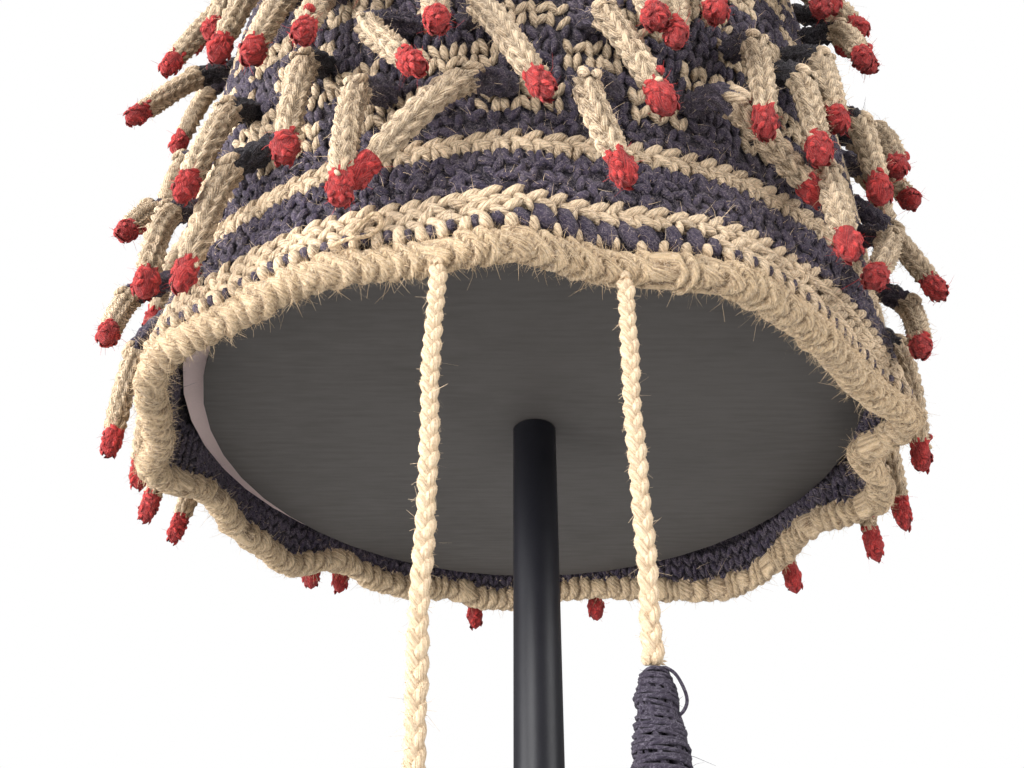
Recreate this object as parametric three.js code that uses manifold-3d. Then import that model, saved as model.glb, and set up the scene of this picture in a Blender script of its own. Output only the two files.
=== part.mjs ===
// A crocheted prestige hat with hanging burls, on the plain disc stand that displays it.
// Millimetres, +Z up. The origin is the middle of the stand's base, on its underside.
// The hat is modelled in its own frame: its Z is the crown's axis and its zero is the rim's middle plane.
import * as THREE from 'three';
import { mergeVertices } from 'three/addons/utils/BufferGeometryUtils.js';
import Module from 'manifold-3d';

// Stand
const baseRadius = 100;
const baseHeight = 8;
const baseBevel = 1.5;
const rodRadius = 6;
const plateUnderside = 300;
const plateThickness = 3;
const boardThickness = 5;
const boardShift = 6;
const seatGap = 0.3;

// Crown
const headRadius = 95;
const fitGap = 0.5;
const crownWall = 3.5;
const bandHeight = 40;
const shoulderHeight = 140;
const shoulderInset = 7.5;
const domeRise = 76;
const hatPitch = THREE.MathUtils.degToRad(5.1);
const plateLevel = 13;

// Rolled edge
const rollRadius = 3.7;
const foldDepth = 8;
const foldFade = 36;

// Burls and the crochet course that they grow from
const burlLength = 50;
const burlRadius = 3.2;
const bulbRadius = 3.8;
const coatWall = 1.2;
const coatGap = 0.3;

// Chin cords and tassels
const cordRadius = 1.85;
const tasselLength = 38;
const tasselRadius = 4.6;
const tasselGap = 0.3;

// Facets round each piece
const crownSides = 58;
const coatSides = crownSides / 2;
const rollSides = 6;
const discSides = 44;
const rodSides = 24;
const burlSides = 4;
const cordSides = 8;
const tasselSides = 10;

const outerRadius = headRadius + crownWall;
const plateRadius = headRadius - boardShift / 2 - fitGap;
const shoulderRadius = outerRadius - shoulderInset;
const domeTurn = (shoulderRadius + domeRise) / 2;
const crownRun = shoulderHeight + domeTurn * Math.PI / 2;
const rollTop = rollRadius + seatGap;

const navy = { color: 0x48404c, roughness: 0.95, metalness: 0 };
const tan = { color: 0xc8ae8e, roughness: 0.95, metalness: 0 };
const burlTan = { color: 0xb99c7c, roughness: 0.95, metalness: 0 };
const cordTan = { color: 0xdcc0a0, roughness: 0.95, metalness: 0 };
const blackSteel = { color: 0x26262a, roughness: 0.4, metalness: 0.3 };
const greyPlate = { color: 0x4c4947, roughness: 0.75, metalness: 0 };
const paleBoard = { color: 0xb8a9a4, roughness: 0.85, metalness: 0 };

// The folds of the free edge, one row each. turn is the angle round the crown, with 0 at the wearer's left
// and -90 at the front. width is in degrees. swell moves the edge outwards and lift raises it, as shares of
// the fold depth.
const folds = [
  { turn: -146, width: 14, swell: 0.8, lift: 0 },
  { turn: -117, width: 12, swell: 0.4, lift: 0.12 },
  { turn: -93, width: 8, swell: 0.55, lift: 0 },
  { turn: -80, width: 7, swell: -0.45, lift: 0.15 },
  { turn: -64, width: 7, swell: 0.25, lift: 0 },
  { turn: -37, width: 14, swell: -0.45, lift: 0 },
  { turn: -17, width: 6, swell: 0.65, lift: 0 },
  { turn: -6, width: 6, swell: -0.65, lift: 0.1 },
  { turn: 9, width: 8, swell: 0.8, lift: -0.1 },
  { turn: 24, width: 6, swell: -0.2, lift: 0.15 },
  { turn: 48, width: 14, swell: 0.95, lift: -0.5 },
  { turn: 77, width: 9, swell: 0, lift: 0.2 },
  { turn: 95, width: 6, swell: 0.2, lift: -0.15 },
  { turn: 105, width: 4, swell: 0, lift: 0.15 },
  { turn: 129, width: 6, swell: 0, lift: 0.5 },
  { turn: 141, width: 5, swell: 0.2, lift: -0.25 },
  { turn: 166, width: 8, swell: -0.25, lift: 0.45 },
  { turn: -179, width: 6, swell: 0.75, lift: 0 },
];

// Stations up the crown. below is a share of the fold fade, rise a share of the way from the band's top to
// the shoulder, and arc a share of the dome's quarter turn.
const bandStations = [{ below: 0.34 }, { below: 0.67 }];
const coatStations = [{ rise: 0 }, { rise: 0.5 }, { rise: 1 }, { arc: 0.25 }, { arc: 0.5 }, { arc: 0.75 }, { arc: 1 }];
const liningStations = [{ rise: 0 }, { rise: 1 }, { arc: 0.33 }, { arc: 0.67 }, { arc: 1 }];

// The burls that show at the front and under the back edge, one row each. turn is the angle of the root in
// degrees and level its place up the crown, as a share of the run from the edge to the middle of the top.
// out is how far the elbow stands off, lean and sway how far the elbow and the tip go round the crown,
// fall how far the tip drops and stand how far it stands off, all as shares of the burl's length.
const shownBurls = [
  { turn: -163, level: 0.47, out: 0.25, lean: 0, sway: 0.19, fall: 0.83, stand: 0.47 },
  { turn: -124, level: 0.36, out: 0.22, lean: 0, sway: 0.03, fall: 0.84, stand: 0.36 },
  { turn: -155, level: 0.54, out: 0.22, lean: 0, sway: 0.02, fall: 0.89, stand: 0.37 },
  { turn: -117, level: 0.335, out: 0.2, lean: 0, sway: 0.09, fall: 0.81, stand: 0.42 },
  { turn: -119, level: 0.24, out: 0.25, lean: 0.05, sway: 0.08, fall: 0.88, stand: 0.31 },
  { turn: -134, level: 0.24, out: 0.22, lean: 0.1, sway: 0.11, fall: 0.87, stand: 0.37 },
  { turn: -127, level: 0.168, out: 0.2, lean: -0.1, sway: -0.13, fall: 0.92, stand: 0.29 },
  { turn: -105, level: 0.255, out: 0.25, lean: -0.2, sway: 0.14, fall: 0.68, stand: 0.36 },
  { turn: -108, level: 0.176, out: 0.3, lean: -0.05, sway: -0.05, fall: 0.85, stand: 0.29 },
  { turn: -92, level: 0.168, out: 0.26, lean: -0.2, sway: -0.61, fall: 0.68, stand: 0.25 },
  { turn: -103, level: 0.3, out: 0.2, lean: 0.05, sway: 0.14, fall: 0.79, stand: 0.45 },
  { turn: -98, level: 0.255, out: 0.25, lean: 0.1, sway: 0.35, fall: 0.81, stand: 0.29 },
  { turn: -79, level: 0.168, out: 0.27, lean: -0.2, sway: -0.03, fall: 0.78, stand: 0.29 },
  { turn: -82, level: 0.248, out: 0.25, lean: 0.05, sway: 0.23, fall: 0.82, stand: 0.32 },
  { turn: -75, level: 0.32, out: 0.2, lean: -0.05, sway: -0.06, fall: 0.81, stand: 0.42 },
  { turn: -68, level: 0.305, out: 0.2, lean: -0.1, sway: -0.23, fall: 0.79, stand: 0.39 },
  { turn: -65, level: 0.35, out: 0.2, lean: -0.05, sway: -0.15, fall: 0.81, stand: 0.4 },
  { turn: -60, level: 0.263, out: 0.27, lean: -0.05, sway: -0.11, fall: 0.85, stand: 0.29 },
  { turn: -52, level: 0.263, out: 0.24, lean: -0.05, sway: -0.13, fall: 0.88, stand: 0.31 },
  { turn: -45, level: 0.32, out: 0.23, lean: -0.05, sway: -0.19, fall: 0.86, stand: 0.3 },
  { turn: -68, level: 0.168, out: 0.27, lean: 0, sway: 0.6, fall: 0.38, stand: 0.15 },
  { turn: -37, level: 0.28, out: 0.24, lean: -0.05, sway: -0.18, fall: 0.88, stand: 0.28 },
  { turn: -19, level: 0.35, out: 0.29, lean: -0.1, sway: -0.38, fall: 0.74, stand: 0.29 },
  { turn: -30, level: 0.54, out: 0.25, lean: -0.05, sway: -0.28, fall: 0.79, stand: 0.27 },
  { turn: -21, level: 0.54, out: 0.27, lean: 0, sway: -0.13, fall: 0.83, stand: 0.32 },
  { turn: -48, level: 0.168, out: 0.2, lean: -0.1, sway: -0.23, fall: 0.88, stand: 0.34 },
  { turn: -28, level: 0.168, out: 0.2, lean: -0.1, sway: -0.59, fall: 0.75, stand: 0.2 },
  { turn: -14, level: 0.28, out: 0.2, lean: 0.05, sway: -0.18, fall: 0.89, stand: 0.35 },
  { turn: -14, level: 0.168, out: 0.22, lean: 0, sway: -0.44, fall: 0.76, stand: 0.19 },
  { turn: -147, level: 0.176, out: 0.23, lean: 0.1, sway: 0.28, fall: 0.83, stand: 0.3 },
  { turn: -166, level: 0.27, out: 0.26, lean: 0.1, sway: 0.48, fall: 0.67, stand: 0.34 },
  { turn: -164, level: 0.168, out: 0.26, lean: 0, sway: 0.37, fall: 0.72, stand: 0.31 },
  { turn: -172, level: 0.165, out: 0.26, lean: -0.1, sway: -0.08, fall: 0.92, stand: 0.27 },
  { turn: 176, level: 0.168, out: 0.25, lean: 0, sway: -0.05, fall: 0.92, stand: 0.24 },
  { turn: 165, level: 0.168, out: 0.25, lean: 0, sway: 0.09, fall: 1, stand: 0.31 },
  { turn: 156, level: 0.168, out: 0.25, lean: 0, sway: 0.12, fall: 1, stand: 0.32 },
  { turn: 133, level: 0.168, out: 0.22, lean: 0, sway: -0.07, fall: 0.98, stand: 0.2 },
  { turn: 125, level: 0.168, out: 0.22, lean: 0, sway: 0, fall: 0.95, stand: 0.22 },
  { turn: 100, level: 0.168, out: 0.22, lean: 0, sway: -0.05, fall: 1.08, stand: 0.22 },
  { turn: 77, level: 0.168, out: 0.22, lean: 0, sway: -0.04, fall: 1.03, stand: 0.23 },
  { turn: 40, level: 0.168, out: 0.25, lean: 0, sway: -0.08, fall: 1.11, stand: 0.28 },
  { turn: 20, level: 0.168, out: 0.25, lean: 0, sway: 0.02, fall: 1.12, stand: 0.32 },
  { turn: 10, level: 0.165, out: 0.25, lean: 0, sway: 0.03, fall: 1.07, stand: 0.28 },
  { turn: -3, level: 0.168, out: 0.25, lean: 0, sway: 0.06, fall: 0.94, stand: 0.22 },
  { turn: -13, level: 0.35, out: 0.25, lean: 0, sway: -0.32, fall: 0.73, stand: 0.32 },
  { turn: -20, level: 0.6, out: 0.25, lean: 0, sway: -0.17, fall: 0.86, stand: 0.35 },
];

// The rest stand in even rows. Each row runs from one turn to another, and the rows start half a step apart.
const burlRows = [
  { level: 0.18, from: 52, to: 160, count: 4 },
  { level: 0.25, from: 0, to: 180, count: 8 },
  { level: 0.32, from: 0, to: 190, count: 8 },
  { level: 0.39, from: -16, to: 200, count: 9 },
  { level: 0.41, from: -142, to: -26, count: 6 },
  { level: 0.46, from: -18, to: 180, count: 7 },
  { level: 0.48, from: -150, to: -30, count: 6 },
  { level: 0.55, from: -14, to: 196, count: 8 },
  { level: 0.56, from: -146, to: -38, count: 5 },
  { level: 0.63, from: 0, to: 360, count: 10 },
  { level: 0.71, from: 10, to: 370, count: 8 },
  { level: 0.79, from: 0, to: 360, count: 7 },
  { level: 0.87, from: 20, to: 380, count: 4 },
  { level: 0.95, from: 0, to: 360, count: 2 },
];

// A straight burl before it is bent: at is a share of its length, radius its half width there.
const burlProfile = [
  { at: 0, radius: burlRadius },
  { at: 0.42, radius: burlRadius },
  { at: 0.92, radius: bulbRadius },
];

// The tassel's outline from its top: down is a share of its length, wide a share of its radius.
const tasselProfile = [
  { down: 0, wide: 0.4 },
  { down: 0.12, wide: 0.5 },
  { down: 0.3, wide: 0.8 },
  { down: 0.38, wide: 0.72 },
  { down: 0.6, wide: 0.95 },
  { down: 0.85, wide: 1 },
  { down: 1, wide: 0.8 },
];

// The cords' routes, from the rolled edge down to the tassel.
const cordRoutes = {
  left: [
    [-21, -97.3, 274.3], [-21, -97.3, 268], [-21.4, -97.4, 258], [-21.5, -97.3, 248], [-21.2, -97.1, 238],
    [-21, -97, 228], [-21, -97.1, 218], [-21.2, -97.2, 208], [-21.3, -97.3, 198], [-21.1, -97.2, 188],
    [-20.8, -97.1, 178], [-20.7, -97, 170], [-20.7, -97, 162],
  ],
  right: [
    [16.8, -91.2, 275.9], [16.8, -91.2, 270], [16.7, -91.3, 262], [16.5, -91.4, 254], [16.3, -91.5, 245],
    [16.4, -91.5, 236], [16.5, -91.4, 227], [16.7, -91.3, 219], [16.7, -91.2, 210], [16.6, -91.2, 201],
    [16.6, -91.2, 193.5],
  ],
};

const wasm = await Module();
wasm.setup();

function finish(name, geometry, look) {
  const mesh = new THREE.Mesh(geometry, new THREE.MeshStandardMaterial(look));
  mesh.name = name;
  return mesh;
}

function weld(geometry) {
  geometry.deleteAttribute('normal');
  geometry.deleteAttribute('uv');
  return mergeVertices(geometry, 1e-3);
}

function toSolid(geometry) {
  const welded = weld(geometry);
  const vertProperties = new Float32Array(welded.attributes.position.array);
  const triVerts = new Uint32Array(welded.index.array);
  return new wasm.Manifold(new wasm.Mesh({ numProp: 3, vertProperties, triVerts }));
}

function fromSolid(solid) {
  const mesh = solid.getMesh();
  const geometry = new THREE.BufferGeometry();
  geometry.setAttribute('position', new THREE.BufferAttribute(mesh.vertProperties, 3));
  geometry.setIndex(new THREE.BufferAttribute(mesh.triVerts, 1));
  geometry.computeVertexNormals();
  return geometry;
}

// Turns an outline of [radius, height] points about Z.
function turned(outline, sides) {
  const geometry = new THREE.LatheGeometry(outline.map(([r, h]) => new THREE.Vector2(r, h)), sides);
  return geometry.rotateX(Math.PI / 2);
}

// Moves each point of a turned geometry by a function of its angle in degrees, radius and height.
function reshape(geometry, move) {
  const points = geometry.attributes.position;
  for (let i = 0; i < points.count; i += 1) {
    const x = points.getX(i);
    const y = points.getY(i);
    const radius = Math.hypot(x, y);
    const angle = Math.atan2(y, x);
    const moved = move(THREE.MathUtils.radToDeg(angle), radius, points.getZ(i));
    points.setXYZ(i, moved.radius * Math.cos(angle), moved.radius * Math.sin(angle), moved.height);
  }
  geometry.computeVertexNormals();
  return geometry;
}

// How far the free edge swells out and lifts at an angle round the crown.
function foldAt(turn) {
  const sum = { swell: 0, lift: 0 };
  for (const fold of folds) {
    const off = THREE.MathUtils.euclideanModulo(turn - fold.turn + 180, 360) - 180;
    const share = Math.exp(-((off / fold.width) ** 2)) * foldDepth;
    sum.swell += fold.swell * share;
    sum.lift += fold.lift * share;
  }
  return sum;
}

// The plate holds the wall round, so an inward fold ends under the plate and an outward one further up.
function wallSwell(turn, height) {
  const { swell } = foldAt(turn);
  const front = -Math.sin(THREE.MathUtils.degToRad(turn));
  const plateAt = plateLevel + front * headRadius * Math.tan(hatPitch) - rollRadius;
  const fade = swell < 0 ? Math.max(rollTop, plateAt) : foldFade;
  return swell * Math.max(0, 1 - (height - rollTop) / (fade - rollTop + seatGap));
}

// The crown's outer line: radius, height and outward normal at a distance up from the edge.
function crownLine(run) {
  if (run <= shoulderHeight) {
    const rise = Math.max(0, (run - bandHeight) / (shoulderHeight - bandHeight));
    return { radius: outerRadius - shoulderInset * rise * rise, height: run, out: 1, up: 0 };
  }
  const arc = (run - shoulderHeight) / domeTurn;
  const out = Math.cos(arc) / shoulderRadius;
  const up = Math.sin(arc) / domeRise;
  const size = Math.hypot(out, up);
  return {
    radius: shoulderRadius * Math.cos(arc),
    height: shoulderHeight + domeRise * Math.sin(arc),
    out: out / size,
    up: up / size,
  };
}

// The same line as flat facets between the coat's stations, so that what grows there meets the facets.
function facetLine(run) {
  const ends = [0, ...coatStations.map(stationRun)];
  const next = Math.max(1, ends.findIndex((end) => run <= end));
  const [from, to] = [crownLine(ends[next - 1]), crownLine(ends[next])];
  const share = (run - ends[next - 1]) / (ends[next] - ends[next - 1]);
  const between = (key) => THREE.MathUtils.lerp(from[key], to[key], share);
  return { radius: between('radius'), height: between('height'), out: between('out'), up: between('up') };
}

function crownPoint(turn, run, standOff) {
  const line = facetLine(run);
  const radius = line.radius + line.out * standOff;
  const angle = THREE.MathUtils.degToRad(turn);
  return new THREE.Vector3(radius * Math.cos(angle), radius * Math.sin(angle), line.height + line.up * standOff);
}

function stationRun({ below, rise, arc }) {
  if (below !== undefined) return below * foldFade;
  if (rise !== undefined) return bandHeight + rise * (shoulderHeight - bandHeight);
  return shoulderHeight + arc * (crownRun - shoulderHeight);
}

// One side of a wall as [radius, height] points, standOff away from the crown's outer line.
function wallSide(stations, standOff) {
  return stations.map((station) => {
    const line = crownLine(stationRun(station));
    const radius = station.arc === 1 ? 0 : line.radius + line.out * standOff;
    return [radius, line.height + line.up * standOff];
  });
}

// The straight wall between the rolled edge and the lowest burls.
function crownBand() {
  const top = bandHeight - seatGap;
  const outside = wallSide(bandStations, 0);
  const inside = wallSide([bandStations[0]], -crownWall);
  const outline = [[headRadius, rollTop], [outerRadius, rollTop], ...outside, [outerRadius, top], [headRadius, top]];
  outline.push(...inside, [headRadius, rollTop]);
  const geometry = turned(outline, crownSides);
  reshape(geometry, (turn, radius, height) => {
    const atEdge = height < rollTop + 1e-3;
    return { radius: radius + wallSwell(turn, height), height: height + (atEdge ? foldAt(turn).lift : 0) };
  });
  return finish('crown_band', geometry, navy);
}

// The wall from the band up to the shoulder, which stops a seat gap below the dome.
function crown() {
  const isWall = ({ rise }) => rise !== undefined;
  const lower = ([radius, height]) => [radius, height > shoulderHeight - seatGap ? height - seatGap : height];
  const outside = wallSide(coatStations.filter(isWall), 0).map(lower);
  const inside = wallSide(liningStations.filter(isWall), -crownWall).map(lower);
  return finish('crown', turned([inside[0], ...outside, ...inside.reverse()], crownSides), navy);
}

function crownDome() {
  const isDome = ({ rise, arc }) => rise === 1 || arc !== undefined;
  const outside = wallSide(coatStations.filter(isDome), 0);
  const inside = wallSide(liningStations.filter(isDome), -crownWall);
  return finish('crown_dome', turned([inside[0], ...outside, ...inside.reverse()], crownSides), navy);
}

function edgeRoll() {
  const middle = outerRadius - crownWall / 2;
  const outline = [];
  for (let i = 0; i <= rollSides; i += 1) {
    const angle = 2 * Math.PI * ((i % rollSides) / rollSides - 0.25);
    outline.push([middle + rollRadius * Math.cos(angle), rollRadius * Math.sin(angle)]);
  }
  const ring = turned(outline, crownSides);
  reshape(ring, (turn, radius, height) => {
    const { swell, lift } = foldAt(turn);
    return { radius: radius + swell, height: height + lift };
  });
  return finish('edge_roll', ring, tan);
}

// A row of burls, each a little different from the next in a fixed way.
function rowBurls() {
  const burls = [];
  for (const row of burlRows) {
    for (let i = 0; i < row.count; i += 1) {
      const chance = (k) => THREE.MathUtils.euclideanModulo(Math.sin((burls.length + 1) * k) * 437.58, 1) - 0.5;
      burls.push({
        turn: row.from + (row.to - row.from) * (i + 0.5) / row.count + 5 * chance(1.3),
        level: row.level + 0.02 * chance(2.1),
        out: 0.25 + 0.06 * chance(3.7),
        lean: 0.2 * chance(4.9),
        sway: 0.6 * chance(4.9) + 0.3 * chance(5.3),
        fall: 0.76 + 0.14 * chance(6.1),
        stand: 0.3 + 0.14 * chance(7.7),
      });
    }
  }
  return burls;
}

// Bends a straight turned burl along its path, from the crochet course to the tip.
function bentBurl({ turn, level, out, lean, sway, fall, stand }) {
  const run = level * crownRun;
  const round = THREE.MathUtils.radToDeg(burlLength / Math.max(crownLine(run).radius, burlLength / 2));
  const root = crownPoint(turn, run, coatGap + coatWall / 2);
  const elbow = crownPoint(turn + lean * round, run - (fall * burlLength) / 5, out * burlLength);
  const tip = crownPoint(turn + sway * round, run - fall * burlLength, stand * burlLength);
  const path = new THREE.CubicBezierCurve3(root, elbow, elbow, tip);
  const outline = [[0, 0], ...burlProfile.map(({ at, radius }) => [radius, at]), [0, 1]];
  const burl = turned(outline, burlSides);
  const outward = crownPoint(turn, run, 1).sub(crownPoint(turn, run, 0));
  const across = new THREE.Vector3(-Math.sin(THREE.MathUtils.degToRad(turn)), Math.cos(THREE.MathUtils.degToRad(turn)), 0);
  const points = burl.attributes.position;
  for (let i = 0; i < points.count; i += 1) {
    const along = THREE.MathUtils.clamp(points.getZ(i), 0, 1);
    const ahead = along < 1e-3 ? outward : path.getTangentAt(along);
    const side = across.clone().addScaledVector(ahead, -across.dot(ahead)).normalize();
    const up = ahead.clone().cross(side);
    const spot = path.getPointAt(along);
    spot.addScaledVector(side, points.getX(i)).addScaledVector(up, points.getY(i));
    points.setXYZ(i, spot.x, spot.y, spot.z);
  }
  return burl;
}

// The outer crochet course over the crown, with every burl grown from it in one piece.
function burlCoat() {
  const widen = 1 / Math.cos(Math.PI / coatSides);
  const outside = wallSide(coatStations, coatGap + coatWall);
  const inside = wallSide(coatStations, coatGap);
  const outline = [inside[0], ...outside, ...inside.reverse()];
  let solid = toSolid(turned(outline.map(([r, h]) => [r * widen, h]), coatSides));
  for (const burl of [...shownBurls, ...rowBurls()]) solid = solid.add(toSolid(bentBurl(burl)));
  return finish('burl_coat', fromSolid(solid), burlTan);
}

function cord(side) {
  const path = new THREE.CatmullRomCurve3(cordRoutes[side].map((point) => new THREE.Vector3(...point)));
  const section = new THREE.Shape();
  for (let i = 0; i < cordSides; i += 1) {
    const angle = (2 * Math.PI * i) / cordSides;
    const x = cordRadius * Math.cos(angle);
    const y = cordRadius * Math.sin(angle);
    if (i === 0) section.moveTo(x, y);
    else section.lineTo(x, y);
  }
  section.closePath();
  const steps = cordRoutes[side].length - 1;
  const tube = new THREE.ExtrudeGeometry(section, { steps, extrudePath: path, curveSegments: 1 });
  return finish(`chin_cord_${side}`, tube, cordTan);
}

function tassel(side) {
  const [x, y, z] = cordRoutes[side][cordRoutes[side].length - 1];
  const outline = tasselProfile.map(({ down, wide }) => [wide * tasselRadius, -down * tasselLength]);
  const body = turned([[0, 0], ...outline, [0, -tasselLength]].reverse(), tasselSides);
  const mesh = finish(`tassel_${side}`, body, navy);
  mesh.position.set(x, y, z - tasselGap);
  return mesh;
}

function disc(name, radius, bottom, height, look) {
  const top = bottom + height;
  return finish(name, turned([[0, bottom], [radius, bottom], [radius, top], [0, top]], discSides), look);
}

function standBase() {
  const inner = baseRadius - baseBevel;
  const outline = [[0, 0], [baseRadius, 0], [baseRadius, baseHeight - baseBevel], [inner, baseHeight], [0, baseHeight]];
  return finish('stand_base', turned(outline, discSides), blackSteel);
}

function rod() {
  const bottom = baseHeight + seatGap;
  const height = plateUnderside - seatGap - bottom;
  const geometry = new THREE.CylinderGeometry(rodRadius, rodRadius, height, rodSides).rotateX(Math.PI / 2);
  const mesh = finish('stand_rod', geometry, blackSteel);
  mesh.position.z = bottom + height / 2;
  return mesh;
}

const object = new THREE.Group();

const stand = new THREE.Group();
const plateTop = plateUnderside + plateThickness;
const board = disc('support_board', plateRadius, plateTop + seatGap, boardThickness, paleBoard);
board.position.x = -boardShift;
stand.add(standBase());
stand.add(rod());
stand.add(disc('stand_plate', plateRadius, plateUnderside, plateThickness, greyPlate));
stand.add(board);
object.add(stand);

// The hat sits round the plate and the board, pitched down at the front.
const hat = new THREE.Group();
hat.position.set(-boardShift / 2, 0, plateUnderside);
hat.rotation.x = hatPitch;
const hatPieces = new THREE.Group();
hatPieces.position.z = -plateLevel;
hatPieces.add(crownDome(), crown(), crownBand(), edgeRoll(), burlCoat());
hat.add(hatPieces);
object.add(hat);

for (const side of ['left', 'right']) object.add(cord(side), tassel(side));

export default object;
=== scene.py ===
"""A crocheted prestige hat with hanging burls on a plain disc stand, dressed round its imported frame.

Each piece has its own operator in the sidebar's Hat tab, and main runs them all in order. Everything is in
metres, in the row frame. The crown's own frame has its Z on the crown's axis and its zero in the middle of
the rim.
"""

import math

import bpy
import numpy as np
from bpy.props import FloatProperty, FloatVectorProperty, IntProperty, PointerProperty
from bpy.types import Operator, Panel, PropertyGroup
from mathutils import Matrix, Vector


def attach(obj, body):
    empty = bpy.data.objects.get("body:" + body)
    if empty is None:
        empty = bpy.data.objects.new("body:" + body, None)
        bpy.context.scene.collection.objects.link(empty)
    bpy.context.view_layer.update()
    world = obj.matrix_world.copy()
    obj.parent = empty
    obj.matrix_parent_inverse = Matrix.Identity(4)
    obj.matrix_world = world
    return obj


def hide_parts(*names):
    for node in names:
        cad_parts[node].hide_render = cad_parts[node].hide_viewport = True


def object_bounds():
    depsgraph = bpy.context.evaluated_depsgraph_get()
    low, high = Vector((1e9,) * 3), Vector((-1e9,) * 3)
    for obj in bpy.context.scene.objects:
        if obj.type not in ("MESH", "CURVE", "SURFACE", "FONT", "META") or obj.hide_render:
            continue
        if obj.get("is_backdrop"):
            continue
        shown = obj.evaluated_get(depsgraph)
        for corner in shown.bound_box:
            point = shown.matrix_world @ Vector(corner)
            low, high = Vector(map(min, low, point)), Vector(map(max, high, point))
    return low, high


bl_info = {
    "name": "Prestige hat on a display stand",
    "version": (1, 0, 0),
    "blender": (4, 5, 0),
    "location": "3D View > Sidebar > Hat",
    "description": "Dresses the packed hat and its stand with crocheted yarn, fibres, materials and lights",
    "category": "Add Mesh",
}

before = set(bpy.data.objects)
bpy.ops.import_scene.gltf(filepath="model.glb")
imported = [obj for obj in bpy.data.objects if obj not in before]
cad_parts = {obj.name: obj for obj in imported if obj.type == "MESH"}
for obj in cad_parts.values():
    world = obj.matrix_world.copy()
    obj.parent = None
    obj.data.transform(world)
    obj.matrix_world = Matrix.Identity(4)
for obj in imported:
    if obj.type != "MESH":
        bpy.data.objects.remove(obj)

# The crown's tilt in degrees, the height of the plate's top and how far the hat stands left of the rod.
CROWN_TILT = 5.1
PLATE_TOP = 0.3
AXIS_SHIFT = 0.003

# The camera's lens and sensor width in millimetres, its place and its pitch in degrees.
CAMERA_LENS = 39.6
SENSOR_WIDTH = 36
CAMERA_PLACE = (-0.00633, -0.265, 0.1233)
CAMERA_PITCH = 126.04

# The turn in radians from one thread or loop to the next that spreads them evenly.
EVEN_SPREAD = 2.39996

# The edge's folds: angle, with -90 at the front, and width in degrees, swell and lift as shares of the depth.
FOLDS = (
    (-146, 14, 0.8, 0), (-117, 12, 0.4, 0.12), (-93, 8, 0.55, 0), (-80, 7, -0.45, 0.15), (-64, 7, 0.25, 0),
    (-37, 14, -0.45, 0), (-17, 6, 0.65, 0), (-6, 6, -0.65, 0.1), (9, 8, 0.8, -0.1), (24, 6, -0.2, 0.15),
    (48, 14, 0.95, -0.5), (77, 9, 0, 0.2), (95, 6, 0.2, -0.15), (105, 4, 0, 0.15), (129, 6, 0, 0.5),
    (141, 5, 0.2, -0.25), (166, 8, -0.25, 0.45), (-179, 6, 0.75, 0),
)

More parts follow.
